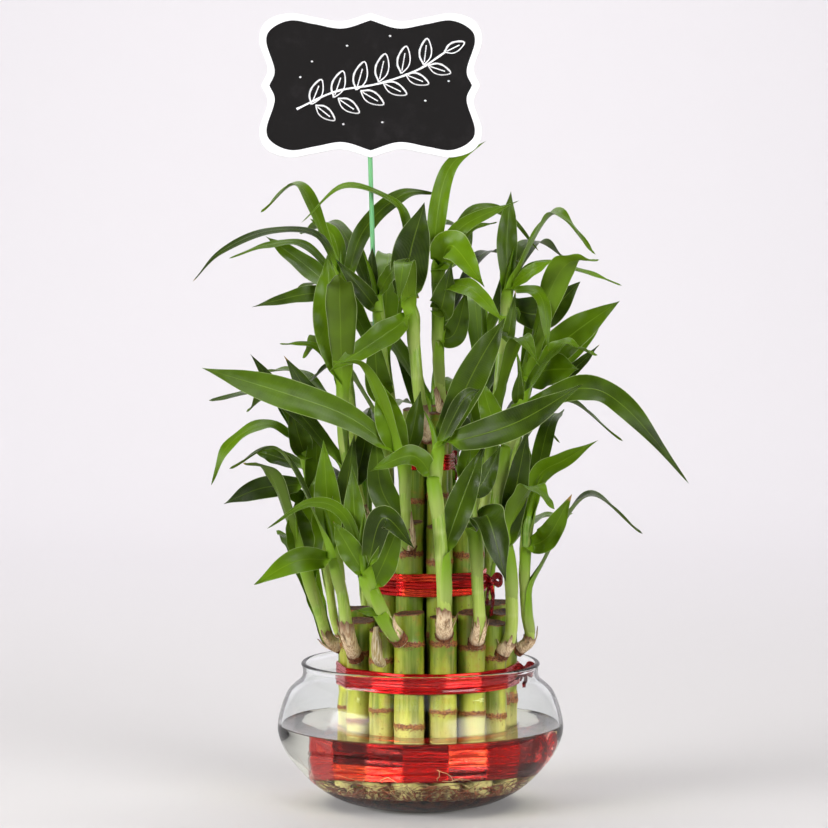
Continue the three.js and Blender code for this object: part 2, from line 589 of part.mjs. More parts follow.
// Both faces of a blade are split alike, so the thin skin can't cross itself
function bladeSolid(leaf, grow = 0) {
  const curve = curveThrough([leaf.from, ...leaf.to]);
  const steps = leaf.to.length > 2 ? longBladeSteps : bladeSteps;
  const points = steps.flatMap((u) => bladeSection(leaf, curve, u, grow));
  const tip = points.length;
  const along = curve.getTangent(1);
  points.push(curve.getPoint(1).addScaledVector(along, grow));
  const faces = [[0, 3, 1], [1, 3, 2]];
  for (let i = 0; i + 1 < steps.length; i += 1) {
    const [l, t, r, b] = [0, 1, 2, 3].map((k) => i * 4 + k);
    faces.push([l, t, t + 4], [l, t + 4, l + 4], [t, r, t + 4], [r, r + 4, t + 4]);
    faces.push([r, b, b + 4], [r, b + 4, r + 4], [b, l, b + 4], [l, l + 4, b + 4]);
  }
  const last = tip - 4;
  for (let k = 0; k < 4; k += 1) faces.push([last + k, last + ((k + 1) % 4), tip]);
  return solidFrom(points, faces);
}

// Leaves that spread to the hidden sides of a shoot
function ruledLeaves(shoot, count, towards, seed) {
  const draw = drawFrom(seed);
  const curve = stemCurve(shoot);
  const leaves = [];
  for (let j = 0; j < count; j += 1) {
    const at = count > 1 ? 0.5 + (0.48 * j) / (count - 1) : 0.9;
    const turn = (j % 2 ? 1 : -1) * (10 + 65 * draw());
    const out = heading(towards + turn);
    const length = 34 + 38 * draw();
    const rise = 24 + 32 * draw();
    const droop = 34 * draw() - 10;
    const from = curve.getPoint(at);
    const halfway = from.clone().addScaledVector(out, 0.5 * length).addScaledVector(up, rise);
    const tip = from.clone().addScaledVector(out, length).addScaledVector(up, rise - droop);
    leaves.push({ at, wide: 10 + 6 * draw(), face: 0.35, from, to: [halfway, tip], facing: out,
      sideways: new THREE.Vector3(-out.y, out.x, 0) });
  }
  return leaves;
}

function placedLeaves(shoot) {
  const curve = stemCurve(shoot);
  return shoot.leaves.map((leaf) => ({
    ...leaf,
    from: curve.getPoint(leaf.at),
    to: leaf.to.map((p) => new THREE.Vector3(...p)),
    facing: front,
    sideways: new THREE.Vector3(0, 1, 0),
  }));
}

function movedLeaf(leaf, [sideways, lift]) {
  const to = leaf.to.map((p, i) => {
    const share = (i + 1) / leaf.to.length;
    return p.clone().addScaledVector(leaf.sideways, sideways * share).addScaledVector(up, lift * share);
  });
  return { ...leaf, to };
}

// A shoot on the far side leaves its cane at the outer side and leans outwards
function farShoot({ on, below, tall, count }) {
  const cane = everyCane.find((c) => c.name === on);
  const at = (away, height) => {
    const p = cane.centre.clone().addScaledVector(cane.out, cane.radius + away);
    return [p.x, p.y, cane.top - below + height];
  };
  const stem = [at(-1, 0), at(5, 7), at(7, 0.35 * tall), at(9, 0.7 * tall), at(13, tall)];
  return { on, stem, thick: [3.2, 2.5], ruled: [count, cane.angle], leaves: [] };
}

const everyShoot = [...shoots, ...farShoots.map(farShoot)];

// What a shoot must stay clear of
const obstacles = [];
function addObstacle(owner, solid) {
  obstacles.push({ owner, solid, box: solid.boundingBox() });
}

function boxesMeet(a, b) {
  return [0, 1, 2].every((k) => a.min[k] <= b.max[k] && b.min[k] <= a.max[k]);
}

function isClear(solid, owner) {
  const box = solid.boundingBox();
  return obstacles.every((other) => other.owner === owner || !boxesMeet(box, other.box)
    || solid.intersect(other.solid).isEmpty());
}

// Stems are trimmed to the canes, the stick and the stems before them; leaves then find room between them
function growShoots(fixedPieces) {
  fixedPieces.forEach(([name, solid]) => addObstacle(name, solid));
  const keepOut = [...everyCane.map((cane) => caneSolid(cane, gap)), stickSolid(gap)];
  const grown = everyShoot.map((shoot) => {
    const trimmed = keepOut.reduce((stem, other) => stem.subtract(other), stemSolid(shoot));
    keepOut.push(stemSolid(shoot, gap));
    return { name: `shoot_${shoot.on}`, parts: [mainBody(trimmed)], shoot };
  });
  grown.forEach(({ name, parts }) => addObstacle(name, parts[0]));
  const place = (entry, leaf) => {
    for (const move of tipMoves) {
      const moved = movedLeaf(leaf, move);
      if (isClear(bladeSolid(moved, gap), entry.name)) {
        const blade = bladeSolid(moved);
        entry.parts.push(blade);
        addObstacle(entry.name, blade);
        return;
      }
    }
  };
  grown.forEach((entry) => placedLeaves(entry.shoot).forEach((leaf) => place(entry, leaf)));
  grown.forEach((entry, i) => {
    const [count, towards] = entry.shoot.ruled;
    ruledLeaves(entry.shoot, count, towards, 11 + 7 * i).forEach((leaf) => place(entry, leaf));
  });
  return grown.map(({ name, parts }) => [name, mainBody(wasm.Manifold.union(parts))]);
}

// One of the front canes bears the dried stub of a cut shoot
function wholeCane(cane) {
  if (cane.name !== stub.on) return mainBody(caneSolid(cane));
  const others = everyCane.filter((c) => c !== cane);
  const stubbed = caneSolid(cane).add(stemSolid(stub));
  return mainBody(others.reduce((body, other) => body.subtract(caneSolid(other, gap)), stubbed));
}

function buildScene() {
  const scene = new THREE.Group();
  const piece = (...args) => scene.add(meshOf(...args));

  piece('bowl', bowlSolid(), 0xdfe6e6, 0.05);
  const holes = [...everyCane.map(caneHole), tieHole(ties[0])];
  const water = mainBody(holes.reduce((body, hole) => body.subtract(hole), fillingSolid(caneFoot, waterLevel)));
  piece('water', water, 0xb9ad92, 0.05);
  piece('root_mat', fillingSolid(0, rootTop), 0x4a2f1e, 0.9);

  const fixed = [];
  everyCane.forEach((cane) => {
    const solid = wholeCane(cane);
    fixed.push([`cane_${cane.name}`, solid]);
    piece(`cane_${cane.name}`, solid, 0x8fa43a, 0.5);
  });
  const trimmers = everyCane.map((cane) => caneSolid(cane, gap));
  ties.forEach((tie) => {
    const solid = mainBody(trimmers.reduce((body, other) => body.subtract(other), tieSolid(tie)));
    fixed.push([tie.name, solid]);
    piece(tie.name, solid, 0xc8141e, 0.25, 0.6);
  });
  fixed.push(['stick', stickSolid()], ['card', cardSolid()], ['bowl', bowlSolid()]);
  piece('stick', stickSolid(), 0x78c382, 0.5);
  piece('card', cardSolid(), 0x16151a, 0.8);
  growShoots(fixed).forEach(([name, solid]) => piece(name, solid, 0x4f8a22, 0.45));
  return scene;
}

export default buildScene();
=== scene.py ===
import functools
import math
import random
import bpy
from mathutils import Matrix, Vector, noise
from mathutils.kdtree import KDTree


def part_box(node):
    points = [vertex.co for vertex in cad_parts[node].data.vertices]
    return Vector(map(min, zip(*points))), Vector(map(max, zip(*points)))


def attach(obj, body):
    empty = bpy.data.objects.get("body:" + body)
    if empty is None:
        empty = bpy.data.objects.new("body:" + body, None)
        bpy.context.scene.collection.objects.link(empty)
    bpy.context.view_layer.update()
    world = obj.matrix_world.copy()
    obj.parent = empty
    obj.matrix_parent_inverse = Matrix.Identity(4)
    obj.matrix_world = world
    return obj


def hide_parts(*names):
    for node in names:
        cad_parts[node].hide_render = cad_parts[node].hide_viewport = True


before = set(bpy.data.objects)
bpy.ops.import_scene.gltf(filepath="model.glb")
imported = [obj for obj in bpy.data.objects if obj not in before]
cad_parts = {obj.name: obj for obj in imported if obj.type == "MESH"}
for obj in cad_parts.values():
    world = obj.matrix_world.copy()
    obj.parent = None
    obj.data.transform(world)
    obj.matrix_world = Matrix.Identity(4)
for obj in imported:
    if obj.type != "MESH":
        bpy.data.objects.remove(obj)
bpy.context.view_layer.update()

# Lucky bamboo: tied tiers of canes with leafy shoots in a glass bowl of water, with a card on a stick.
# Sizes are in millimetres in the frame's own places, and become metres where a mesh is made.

mm = 0.001
up = Vector((0, 0, 1))
front = Vector((0, -1, 0))


# Curves and small sums

class Curve:
    # The same smooth curve through points that the solids were drawn along
    def __init__(self, points):
        self.points = [Vector(p) for p in points]

    def at(self, share):
        points, last = self.points, len(self.points) - 1
        place = min(max(share, 0), 1) * last
        i = min(int(place), last - 1)
        w = place - i
        a = points[i - 1] if i > 0 else 2 * points[0] - points[1]
        b, c = points[i], points[i + 1]
        d = points[i + 2] if i + 2 <= last else 2 * points[last] - points[last - 1]
        bend = (2 * a - 5 * b + 4 * c - d) * w * w + (3 * b - a - 3 * c + d) * w ** 3
        return (2 * b + (c - a) * w + bend) / 2

    def along(self, share):
        return (self.at(min(share + 1e-4, 1)) - self.at(max(share - 1e-4, 0))).normalized()

    def length(self, steps=40):
        stops = [self.at(i / steps) for i in range(steps + 1)]
        return sum((b - a).length for a, b in zip(stops, stops[1:]))


def heading(angle):  # a direction along the ground, in degrees from the front and positive to the right
    turn = math.radians(angle)
    return Vector((math.sin(turn), -math.cos(turn), 0))


def smooth(low, high, value):
    share = min(max((value - low) / (high - low), 0), 1)
    return share * share * (3 - 2 * share)


def wobble(place, size, seed=0):  # a smooth random number from -1 to 1 at a place, with bumps of a size
    return noise.noise(Vector(place) / size + Vector((seed * 7.3, seed * 3.1, seed * 5.7)))


# Meshes

def turns(count):  # angles all the way round
    return [2 * math.pi * j / count for j in range(count)]


class Shape:
    # Gathers one piece's points and faces; each point has a pair and four marks that its material reads
    def __init__(self):
        self.points, self.pairs, self.marks = [], [], []
        self.faces, self.slots = [], []

    def point(self, place, pair=(0, 0), mark=(0, 0, 0, 0)):
        self.points.append(Vector(place))
        self.pairs.append(pair)
        self.marks.append(mark)
        return len(self.points) - 1

    def face(self, corners, slot=0):
        self.faces.append(tuple(corners))
        self.slots.append(slot)

    def skin(self, rings, slot=0, capped=True, looped=False):
        ends = rings[1:] + rings[:1] if looped else rings[1:]
        for low, high in zip(rings, ends):
            count = len(low)
            for j in range(count):
                k = (j + 1) % count
                self.face((low[j], low[k], high[k], high[j]), slot)
        if capped and not looped:
            self.face(reversed(rings[0]), slot)
            self.face(rings[-1], slot)

    def lathe(self, profile, sides):
        rings = []
        for r, z in profile:
            around = turns(sides) if r > 1e-6 else [0]
            rings.append([self.point((r * math.cos(a), r * math.sin(a), z)) for a in around])
        for low, high in zip(rings, rings[1:]):
            for j in range(sides):
                k = (j + 1) % sides
                corners = [low[j % len(low)], low[k % len(low)], high[k % len(high)], high[j % len(high)]]
                self.face(dict.fromkeys(corners))  # three corners where the ring is a single point

    def tube(self, centres, radii, sides, slot=0, marks=None, flat=1, looped=False):
        rings, side = [], None
        count = len(centres)
        for i, centre in enumerate(centres):
            after = centres[(i + 1) % count] if looped else centres[min(i + 1, count - 1)]
            before = centres[i - 1] if looped or i else centres[0]
            along = (after - before).normalized()
            if side is None:
                side = along.orthogonal().normalized()
            side = (side - along * side.dot(along)).normalized()
            other = along.cross(side)
            mark = marks[i] if marks else (0, 0, 0, 0)
            rings.append([self.point(centre + (side * math.cos(a) + other * math.sin(a) * flat) * radii[i],
                                     (j / sides, i / count), mark) for j, a in enumerate(turns(sides))])
        self.skin(rings, slot, looped=looped)

    def build(self, name, materials, scale=1, sharp=45):
        mesh = bpy.data.meshes.new(name)
        mesh.from_pydata([p * scale for p in self.points], [], self.faces)
        mesh.polygons.foreach_set('material_index', self.slots)
        mesh.polygons.foreach_set('use_smooth', [True] * len(self.faces))
        layer = mesh.uv_layers.new(name='pair')
        corners = [0] * len(mesh.loops)
        mesh.loops.foreach_get('vertex_index', corners)
        layer.data.foreach_set('uv', [value for i in corners for value in self.pairs[i]])
        marks = mesh.color_attributes.new('mark', 'FLOAT_COLOR', 'POINT')
        marks.data.foreach_set('color', [value for mark in self.marks for value in mark])
        mesh.set_sharp_from_angle(angle=math.radians(sharp))
        for material in materials:
            mesh.materials.append(material)
        obj = bpy.data.objects.new(name, mesh)
        bpy.context.collection.objects.link(obj)
        return obj

    def piece(self, name, materials, replaced=(), sharp=45):
        obj = self.build(name, materials, mm, sharp)
        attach(obj, "root")
        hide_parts(*replaced)

    def stage(self, name, shader):
        obj = self.build(name, [shader.material])


# Materials

def paint(red, green, blue):  # a colour as it looks on a screen
    return [*(((c / 255 + 0.055) / 1.055) ** 2.4 for c in (red, green, blue)), 1]


def colour(value):  # three numbers are a colour on a screen; sockets and ready colours stay as they are
    return paint(*value) if isinstance(value, tuple) and len(value) == 3 else value


class Value:
    # A socket that takes part in sums: each one adds a Math node
    def __init__(self, shader, socket):
        self.shader, self.socket = shader, socket

    def sum(self, operation, *others, clamped=False):
        node = self.shader.add('ShaderNodeMath', {'operation': operation, 'use_clamp': clamped},
                               dict(enumerate((self, *others))))
        return Value(self.shader, node.outputs[0])

    def __add__(self, other):
        return self.sum('ADD', other)

    def __sub__(self, other):
        return self.sum('SUBTRACT', other)

    def __mul__(self, other):
        return self.sum('MULTIPLY', other)

    __radd__, __rmul__ = __add__, __mul__

    def sin(self):
        return self.sum('SINE')

    def size(self):
        return self.sum('ABSOLUTE')

    def within(self):
        return self.sum('ADD', 0, clamped=True)

    def step(self, low, high):  # 0 below low and 1 above high, or the other way round
        node = self.shader.add('ShaderNodeMapRange', {'interpolation_type': 'SMOOTHSTEP'},
                               {'Value': self, 'From Min': low, 'From Max': high})
        return Value(self.shader, node.outputs[0])


class Shader:
    def __init__(self, name, **settings):
        self.material = bpy.data.materials.new(name)
        self.material.use_nodes = True
        self.tree = self.material.node_tree
        self.tree.nodes.clear()
        self.body = self.add('ShaderNodeBsdfPrincipled', {}, settings)
        self.end = self.add('ShaderNodeOutputMaterial', {}, {'Surface': self.body.outputs[0]})

    def add(self, kind, settings=None, inputs=None):
        node = self.tree.nodes.new(kind)
        for key, value in (settings or {}).items():
            setattr(node, key, value)
        for key, value in (inputs or {}).items():
            self.feed(node.inputs[key.replace('_', ' ') if isinstance(key, str) else key], value)
        return node

    def feed(self, socket, value):
        value = getattr(value, 'socket', value)
        if isinstance(value, bpy.types.NodeSocket):
            self.tree.links.new(value, socket)
        else:
            socket.default_value = value

    def set(self, **inputs):
        for key, value in inputs.items():
            self.feed(self.body.inputs[key.replace('_', ' ')], value)

    def parts(self, socket):
        node = self.add('ShaderNodeSeparateXYZ', {}, {0: socket})
        return [Value(self, output) for output in node.outputs]

    def place(self):
        return self.add('ShaderNodeTexCoord').outputs['Object']

    def pair(self):
        return self.parts(self.add('ShaderNodeUVMap', {'uv_map': 'pair'}).outputs[0])[:2]

    def mark(self):
        node = self.add('ShaderNodeAttribute', {'attribute_name': 'mark'})
        return [*self.parts(node.outputs['Vector']), Value(self, node.outputs['Alpha'])]

    def stretched(self, across, along):  # places in millimetres, divided by the size of a mark each way
        node = self.add('ShaderNodeVectorMath', {'operation': 'MULTIPLY'},
                        {0: self.place(), 1: (1000 / across, 1000 / across, 1000 / along)})
        return node.outputs[0]

    def noise(self, size, along=None, detail=3, rough=0.55):
        return self.noiseAt(self.stretched(size, along or size), detail, rough)

    def noiseAt(self, place, detail, rough):
        node = self.add('ShaderNodeTexNoise', {}, {'Vector': place, 'Scale': 1, 'Detail': detail,
                                                   'Roughness': rough})
        return Value(self, node.outputs[0])

    def cells(self, size):
        node = self.add('ShaderNodeTexVoronoi', {}, {'Vector': self.stretched(size, size), 'Scale': 1})
        return Value(self, node.outputs[0])

    def mix(self, share, first, second):
        inputs = {0: share, 6: colour(first), 7: colour(second)}
        return self.add('ShaderNodeMix', {'data_type': 'RGBA'}, inputs).outputs[2]

    def over(self, under, *coats):  # lays coats of colour on each other, each by its own share
        for share, coat in coats:
            under = self.mix(share, under, coat)
        return under

    def bump(self, height, depth, strength=1):
        inputs = {'Height': height, 'Distance': depth * mm, 'Strength': strength}
        node = self.add('ShaderNodeBump', {}, inputs)
        self.feed(self.body.inputs['Normal'], node.outputs[0])


# Bowl, water and roots

bowl = dict(wall=2, sides=96, lip=1.35, base=3.2, inWater=0.25, foot=[(0, 0.6), (24, 0.5), (27, 0)],
            outside=[(30, 0), (44, 4), (55.7, 11), (64.8, 20), (71.9, 30), (75, 42), (70.2, 58.5),
                     (62.3, 66.8), (62.2, 75)])  # radius and height
glassTint = [0.97, 0.985, 0.98, 1]
waterLevel = 42
rootTop = 13
plantX = 3.8


def bowlLine(inset, steps=56):  # the wall's line from the foot to the rim, moved inwards
    curve = Curve([(r, 0, z) for r, z in bowl['outside']])
    line = []
    for i in range(steps + 1):
        along = curve.along(i / steps)
        line.append(curve.at(i / steps) + Vector((-along.z, 0, along.x)) * inset)
    return [(p.x, p.z) for p in line]


def innerRadius(height, inset=0.0):
    line = bowlLine(bowl['wall'] + inset)
    for (r0, z0), (r1, z1) in zip(line, line[1:]):
        if z0 <= height <= z1:
            return r0 + (r1 - r0) * (height - z0) / (z1 - z0)
    return line[0][0]


def glassMaterial(name, tint, ior, gleam, calm):
    # calm is the share of the surface that only bends light, so that dark things behind it stay dark
    shader = Shader(name, Base_Color=tint, Roughness=0, IOR=ior, Transmission_Weight=1,
                    Specular_Tint=[gleam] * 3 + [1])
    bend = shader.add('ShaderNodeBsdfRefraction', {}, {'Color': tint, 'Roughness': 0, 'IOR': ior})
    glass = shader.add('ShaderNodeMixShader', {}, {0: calm, 1: shader.body.outputs[0], 2: bend.outputs[0]})
    shadow = shader.add('ShaderNodeLightPath').outputs['Is Shadow Ray']
    clear = shader.add('ShaderNodeBsdfTransparent', {}, {'Color': tint})
    blend = shader.add('ShaderNodeMixShader', {}, {0: shadow, 1: glass.outputs[0], 2: clear.outputs[0]})
    shader.feed(shader.end.inputs['Surface'], blend.outputs[0])
    return shader.material


def makeBowl():
    lip, top = bowl['lip'], bowl['outside'][-1][1]
    outer = [p for p in bowlLine(0) if p[1] < top - lip]
    inner = [p for p in bowlLine(bowl['wall']) if bowl['base'] < p[1] < top - lip]
    middle = bowl['outside'][-1][0] - bowl['wall'] / 2 + 0.1
    rim = []
    for i in range(9):
        turn = math.pi * i / 8
        rim.append((middle + lip * math.cos(turn), top - lip + lip * math.sin(turn)))
    floor = [(inner[0][0] - 3, bowl['base']), (0, bowl['base'] - 0.4)]
    shape = Shape()
    dry = [*bowl['foot'], *outer, *rim, *(p for p in inner[::-1] if p[1] > waterLevel)]
    shape.lathe([*dry, *(p for p in inner[::-1] if p[1] <= waterLevel), *floor], bowl['sides'])
    wetRow = len(dry)
    for i in range(wetRow * bowl['sides'], len(shape.slots)):
        shape.slots[i] = 1
    clear = glassMaterial('clearGlass', glassTint, 1.46, 0.5, 0.42)
    wet = glassMaterial('wetGlass', glassTint, 1.46, 0.06, 0.7)
    shape.piece('bowl_glass', [clear, wet], ['bowl'], sharp=60)


def makeWater():
    wet = bowl['wall'] - bowl['inWater']
    side = [p for p in bowlLine(wet) if bowl['base'] < p[1] < waterLevel]
    edge = innerRadius(waterLevel) + bowl['inWater']
    surface = [(edge, waterLevel + 0.9), (edge - 1, waterLevel + 0.35), (edge - 3, waterLevel),
               (0, waterLevel)]
    shape = Shape()
    low = bowl['base'] - bowl['inWater']
    shape.lathe([(0, low - 0.4), (side[0][0] - 3, low), *side, *surface], bowl['sides'])
    water = glassMaterial('pondWater', [0.96, 0.94, 0.84, 1], 1.333, 0.15, 0)
    shape.piece('water_body', [water], ['water'], sharp=50)


def rootMaterial():
    shader = Shader('rootThread', Roughness=0.7)
    pale = shader.mark()[0]
    tone = shader.noise(3, 9)
    brown = shader.mix(tone.step(0.3, 0.7), (50, 18, 10), (150, 66, 34))
    shader.set(Base_Color=shader.mix(pale, brown, (206, 186, 132)))
    shader.bump(shader.noise(0.6), 0.2)
    return shader.material


def rootMatMaterial():
    shader = Shader('rootBed', Roughness=0.95, Specular_IOR_Level=0.2)
    brown = shader.mix(shader.noise(5, detail=5).step(0.35, 0.65), (16, 4, 2), (92, 36, 18))
    chips = shader.cells(2.2).step(0.3, 0.2)
    shader.set(Base_Color=shader.mix(chips * 0.5, brown, (150, 104, 58)))
    shader.bump(shader.noise(1.4, detail=5) + chips * 0.5, 1.2)
    return shader.material


# inset: how far off the glass; sink: how far below the top it lies; bumps: height, size and seed
rootMat = dict(inset=0.3, sides=120, sink=1.6, rings=34, apart=1.6, bumps=[(1.3, 6, 0), (0.9, 2.2, 3)])


def makeRootMat():
    shape = Shape()
    level = rootTop - rootMat['sink']
    line = [p for p in bowlLine(bowl['wall'] + rootMat['inset'], 40) if bowl['base'] < p[1] < rootTop - 0.6]
    profile = [(0, 2.5), (line[0][0] - 3, 2.6), *line]
    profile += [(line[-1][0] - 0.7 - k * rootMat['apart'], level) for k in range(rootMat['rings'])]
    profile = [p for p in profile if p[0] >= 0] + [(0, level)]
    shape.lathe(profile, rootMat['sides'])
    for i, p in enumerate(shape.points):
        if p.z > rootTop - 2:
            shape.points[i] = p + up * sum(height * wobble(p, *bump) for height, *bump in rootMat['bumps'])
    shape.piece('root_bed', [rootMatMaterial()], ['root_mat'])


# start: heights where coarse and fine roots leave the canes; high: how far above the bed they rise
roots = dict(count=660, seed=5, thick=(0.22, 0.5), fine=(0.16, 0.26), reach=(16, 40), bend=0.26, stride=1.8,
             start=[(13.2, 21), (14, 26)], high=[8.4, 20], taper=0.75, fan=85)


def rootCourse(place, course, length, steps, high, draw):  # wanders out from a cane, inside the bowl's wall
    centres = [place.copy()]
    for k in range(steps):
        bend = Vector((draw.gauss(0, 1), draw.gauss(0, 1), draw.gauss(-0.3, 0.8)))
        course = (course + bend * roots['bend']).normalized()
        place = place + course * (length / steps)
        place.z = min(max(place.z, rootTop - 1.2), rootTop + high)
        limit = innerRadius(place.z, 1.2)
        spread = math.hypot(place.x, place.y)
        if spread > limit:
            place.x *= limit / spread
            place.y *= limit / spread
        centres.append(place.copy())
    return centres


def makeRoots():
    draw = random.Random(roots['seed'])
    shape = Shape()
    for i in range(roots['count']):
        fine = i % 4 == 0
        cane = everyCane[draw.randrange(len(outerCanes) if i % 5 else len(everyCane))]
        out = heading(cane['angle'] + draw.uniform(-roots['fan'], roots['fan']))
        place = cane['centre'] + up * draw.uniform(*roots['start'][fine])
        place = place + out * cane['radius'] * 0.95
        course = (out + up * draw.uniform(-0.9, 0.5)).normalized()
        length = draw.uniform(*roots['reach'])
        steps = max(10, int(length / roots['stride']))
        centres = rootCourse(place, course, length, steps, roots['high'][fine], draw)
        thick = draw.uniform(*roots['fine' if fine else 'thick'])
        pale = draw.uniform(0.6, 1) if fine and i % 8 else draw.uniform(0, 0.12)
        radii = [thick * (1 - roots['taper'] * k / steps) for k in range(steps + 1)]
        shape.tube(centres, radii, 5, marks=[(pale, 0, 0, 0)] * (steps + 1))
    shape.piece('root_threads', [rootMaterial()])


# Canes

rings = dict(
    outer=dict(radius=40, angles=[-90, -61, -36, -14, 11, 34, 58, 90, 116, 142, 168, 194, 219, 244],
               radii=[7, 7, 6.6, 7.7, 6.9, 7, 6.6, 7, 7.2, 7, 6.8, 7.1, 6.9, 7],
               tops=[103, 99, 96, 105, 103, 105, 98, 101, 104, 102, 105, 103, 104, 101],
               nodes=[[52, 84], [47, 82], [55, 80], [47, 89.5], [55, 90], [53, 87], [50, 80], [56, 83],
                      [50, 83], [52, 85], [48, 84], [54, 86], [55, 87], [49, 86]]),
    middle=dict(radius=23, angles=[-25, 15, 55, 95, 135, 175, 215, 255, 295],
                radii=[7, 6.7, 6.9, 6.7, 7, 6.8, 6.9, 6.7, 6.8],
                tops=[150, 148, 149.5, 147, 150, 148, 151, 147, 149],
                nodes=[[96, 134], [92, 130], [99, 133], [95, 131], [98, 135], [93, 132], [97, 134],
                       [95, 131], [94, 133]]),
    inner=dict(radius=9, angles=[-55, 35, 125, 215], radii=[5.6, 5.5, 5.6, 5.5], tops=[208, 206, 209, 205],
               nodes=[[160, 193], [163, 191], [158, 194], [161, 192]]),
)
# node: height, rise and brown of each step over a node ring; dish: how the cut top sinks
caneLook = dict(sides=32, node=[(-5, 0, 0), (-2.2, 0.12, 0.3), (-0.9, 0.42, 0.65), (-0.35, 0.5, 0.9),
                                (0, 0.2, 1), (0.35, 0.42, 0.9), (0.9, 0.3, 0.6), (2.4, 0.06, 0), (6, 0, 0)],
                dish=[(0.86, 0.33), (0.6, 0.88), (0.3, 1.1)], bevel=1.4, ragged=0.35, uneven=0.12)


def canesOf(name):
    ring, found = rings[name], []
    for i, angle in enumerate(ring['angles']):
        out = heading(angle)
        low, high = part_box(f'cane_{name}_{i + 1}')
        found.append(dict(name=f'{name}_{i + 1}', angle=angle, out=out,
                          centre=Vector((out.x * ring['radius'] + plantX, out.y * ring['radius'], 0)),
                          radius=ring['radii'][i], foot=low[2] / mm, top=ring['tops'][i],
                          nodes=ring['nodes'][i]))
    return found


outerCanes, middleCanes, innerCanes = canesOf('outer'), canesOf('middle'), canesOf('inner')
everyCane = [*outerCanes, *middleCanes, *innerCanes]


def caneMaterial():
    shader = Shader('caneSkin', Specular_IOR_Level=0.5)
    node, cut, own, _ = shader.mark()
    height = shader.parts(shader.place())[2] * 1000
    streaks = shader.noise(1.2, 40)
    foot = height.step(27, 18)
    stain = shader.noise(3, 5, detail=4).step(0.4, 0.62) * height.step(26, 14)
    dots = shader.cells(2.7).step(0.36, 0.24) * foot
    green = shader.over(
        shader.mix(shader.noise(9, 34).step(0.36, 0.64), (92, 110, 12), (190, 190, 62)),
        (streaks.step(0.45, 0.72) * 0.4, (214, 206, 116)),
        (own * 0.35, (86, 98, 14)),
        (height.step(70, 92) * 0.5, shader.mix(streaks, (60, 108, 10), (120, 160, 36))),  # fresher on top
        (shader.noise(6, 6, detail=4).step(0.52, 0.72) * 0.45, (164, 118, 46)),
        (height.step(62, 40) * 0.55, (212, 194, 126)),  # yellower towards the water
        (shader.noise(1.6, 2.4, detail=2).step(0.64, 0.73) * 0.55, (104, 70, 30)),
        (foot * 0.8, (232, 220, 160)),
        (stain * 0.85, (96, 48, 22)),
        (dots * 0.9, (84, 44, 18)))
    bark = shader.mix(shader.noise(0.8).step(0.3, 0.7), (84, 44, 18), (166, 104, 52))
    top = shader.mix(shader.noise(1.2, detail=4).step(0.35, 0.65), (38, 20, 12), (104, 66, 36))
    scar = (node + (shader.noise(1.6, 1.2, detail=4) - 0.5) * 1.6 * node.step(0, 0.2)).step(0.25, 0.6)
    shader.set(Base_Color=shader.mix(cut, shader.mix(scar, green, bark), top),
               Roughness=(node * 0.3 + cut * 0.35 + streaks * 0.18 + 0.22).within())
    shader.bump(streaks * 0.5 + shader.noise(0.7, 2) * 0.4 - dots, 0.25)
    return shader.material


def topSlope(angle):  # the cut tops slope up to the back, each a little differently
    return 0.07 * math.sin(angle * 1.7), 0.07 + 0.05 * math.sin(angle)


def caneStops(cane):  # height, radius, brown and cut, from the foot over the nodes to the dished top
    foot, top, radius = cane['foot'], cane['top'], cane['radius']
    stops = [(foot, radius * 0.9, 0, 0.3), (foot + 0.8, radius, 0, 0)]
    stops += [(z + offset, radius + rise, brown, 0)
              for z in cane['nodes'] for offset, rise, brown in caneLook['node']]
    reach = top - caneLook['bevel']
    stops = sorted([s for s in stops if s[0] < reach - 1], key=lambda s: s[0])
    stops += [(reach, radius, 0, 0), (top - 0.5, radius + 0.05, 0.5, 0.2), (top, radius - 0.15, 0.8, 0.7)]
    return stops + [(top - sink, radius * share, 0, 1) for share, sink in caneLook['dish']]


def makeCane(cane, material):
    draw = random.Random(cane['name'])
    shape = Shape()
    own, top = draw.random(), cane['top']
    tilt, phase = draw.uniform(0.1, 0.5), draw.uniform(0, 6.28)
    right, back = topSlope(cane['angle'])
    reach, rings = top - caneLook['bevel'], []
    for z, r, brown, cut in caneStops(cane):
        ring = []
        lean = smooth(top - 6, reach, z)
        level = 1 - smooth(top - 12, top - 4, z)
        for j, a in enumerate(turns(caneLook['sides'])):
            x, y = r * math.cos(a), r * math.sin(a)
            lift = lean * (right * x + back * y) + level * tilt * math.sin(a + phase) * (brown > 0)
            ragged = caneLook['ragged'] * wobble((x, y, cane['angle']), 2.2, 4) * (z > reach)
            place = cane['centre'] + Vector((x, y, z + lift + ragged))
            place += Vector((x, y, 0)) / r * caneLook['uneven'] * wobble(place, 9, 2)
            ring.append(shape.point(place, (j / caneLook['sides'], z), (brown, cut, own, 0)))
        rings.append(ring)
    shape.skin(rings)
    if cane['name'] == stub['on']:
        addStem(shape, stub, draw)
    node = 'cane_' + cane['name']
    shape.piece(node + '_skin', [material, stemLook()], [node], sharp=50)

# Foil ties

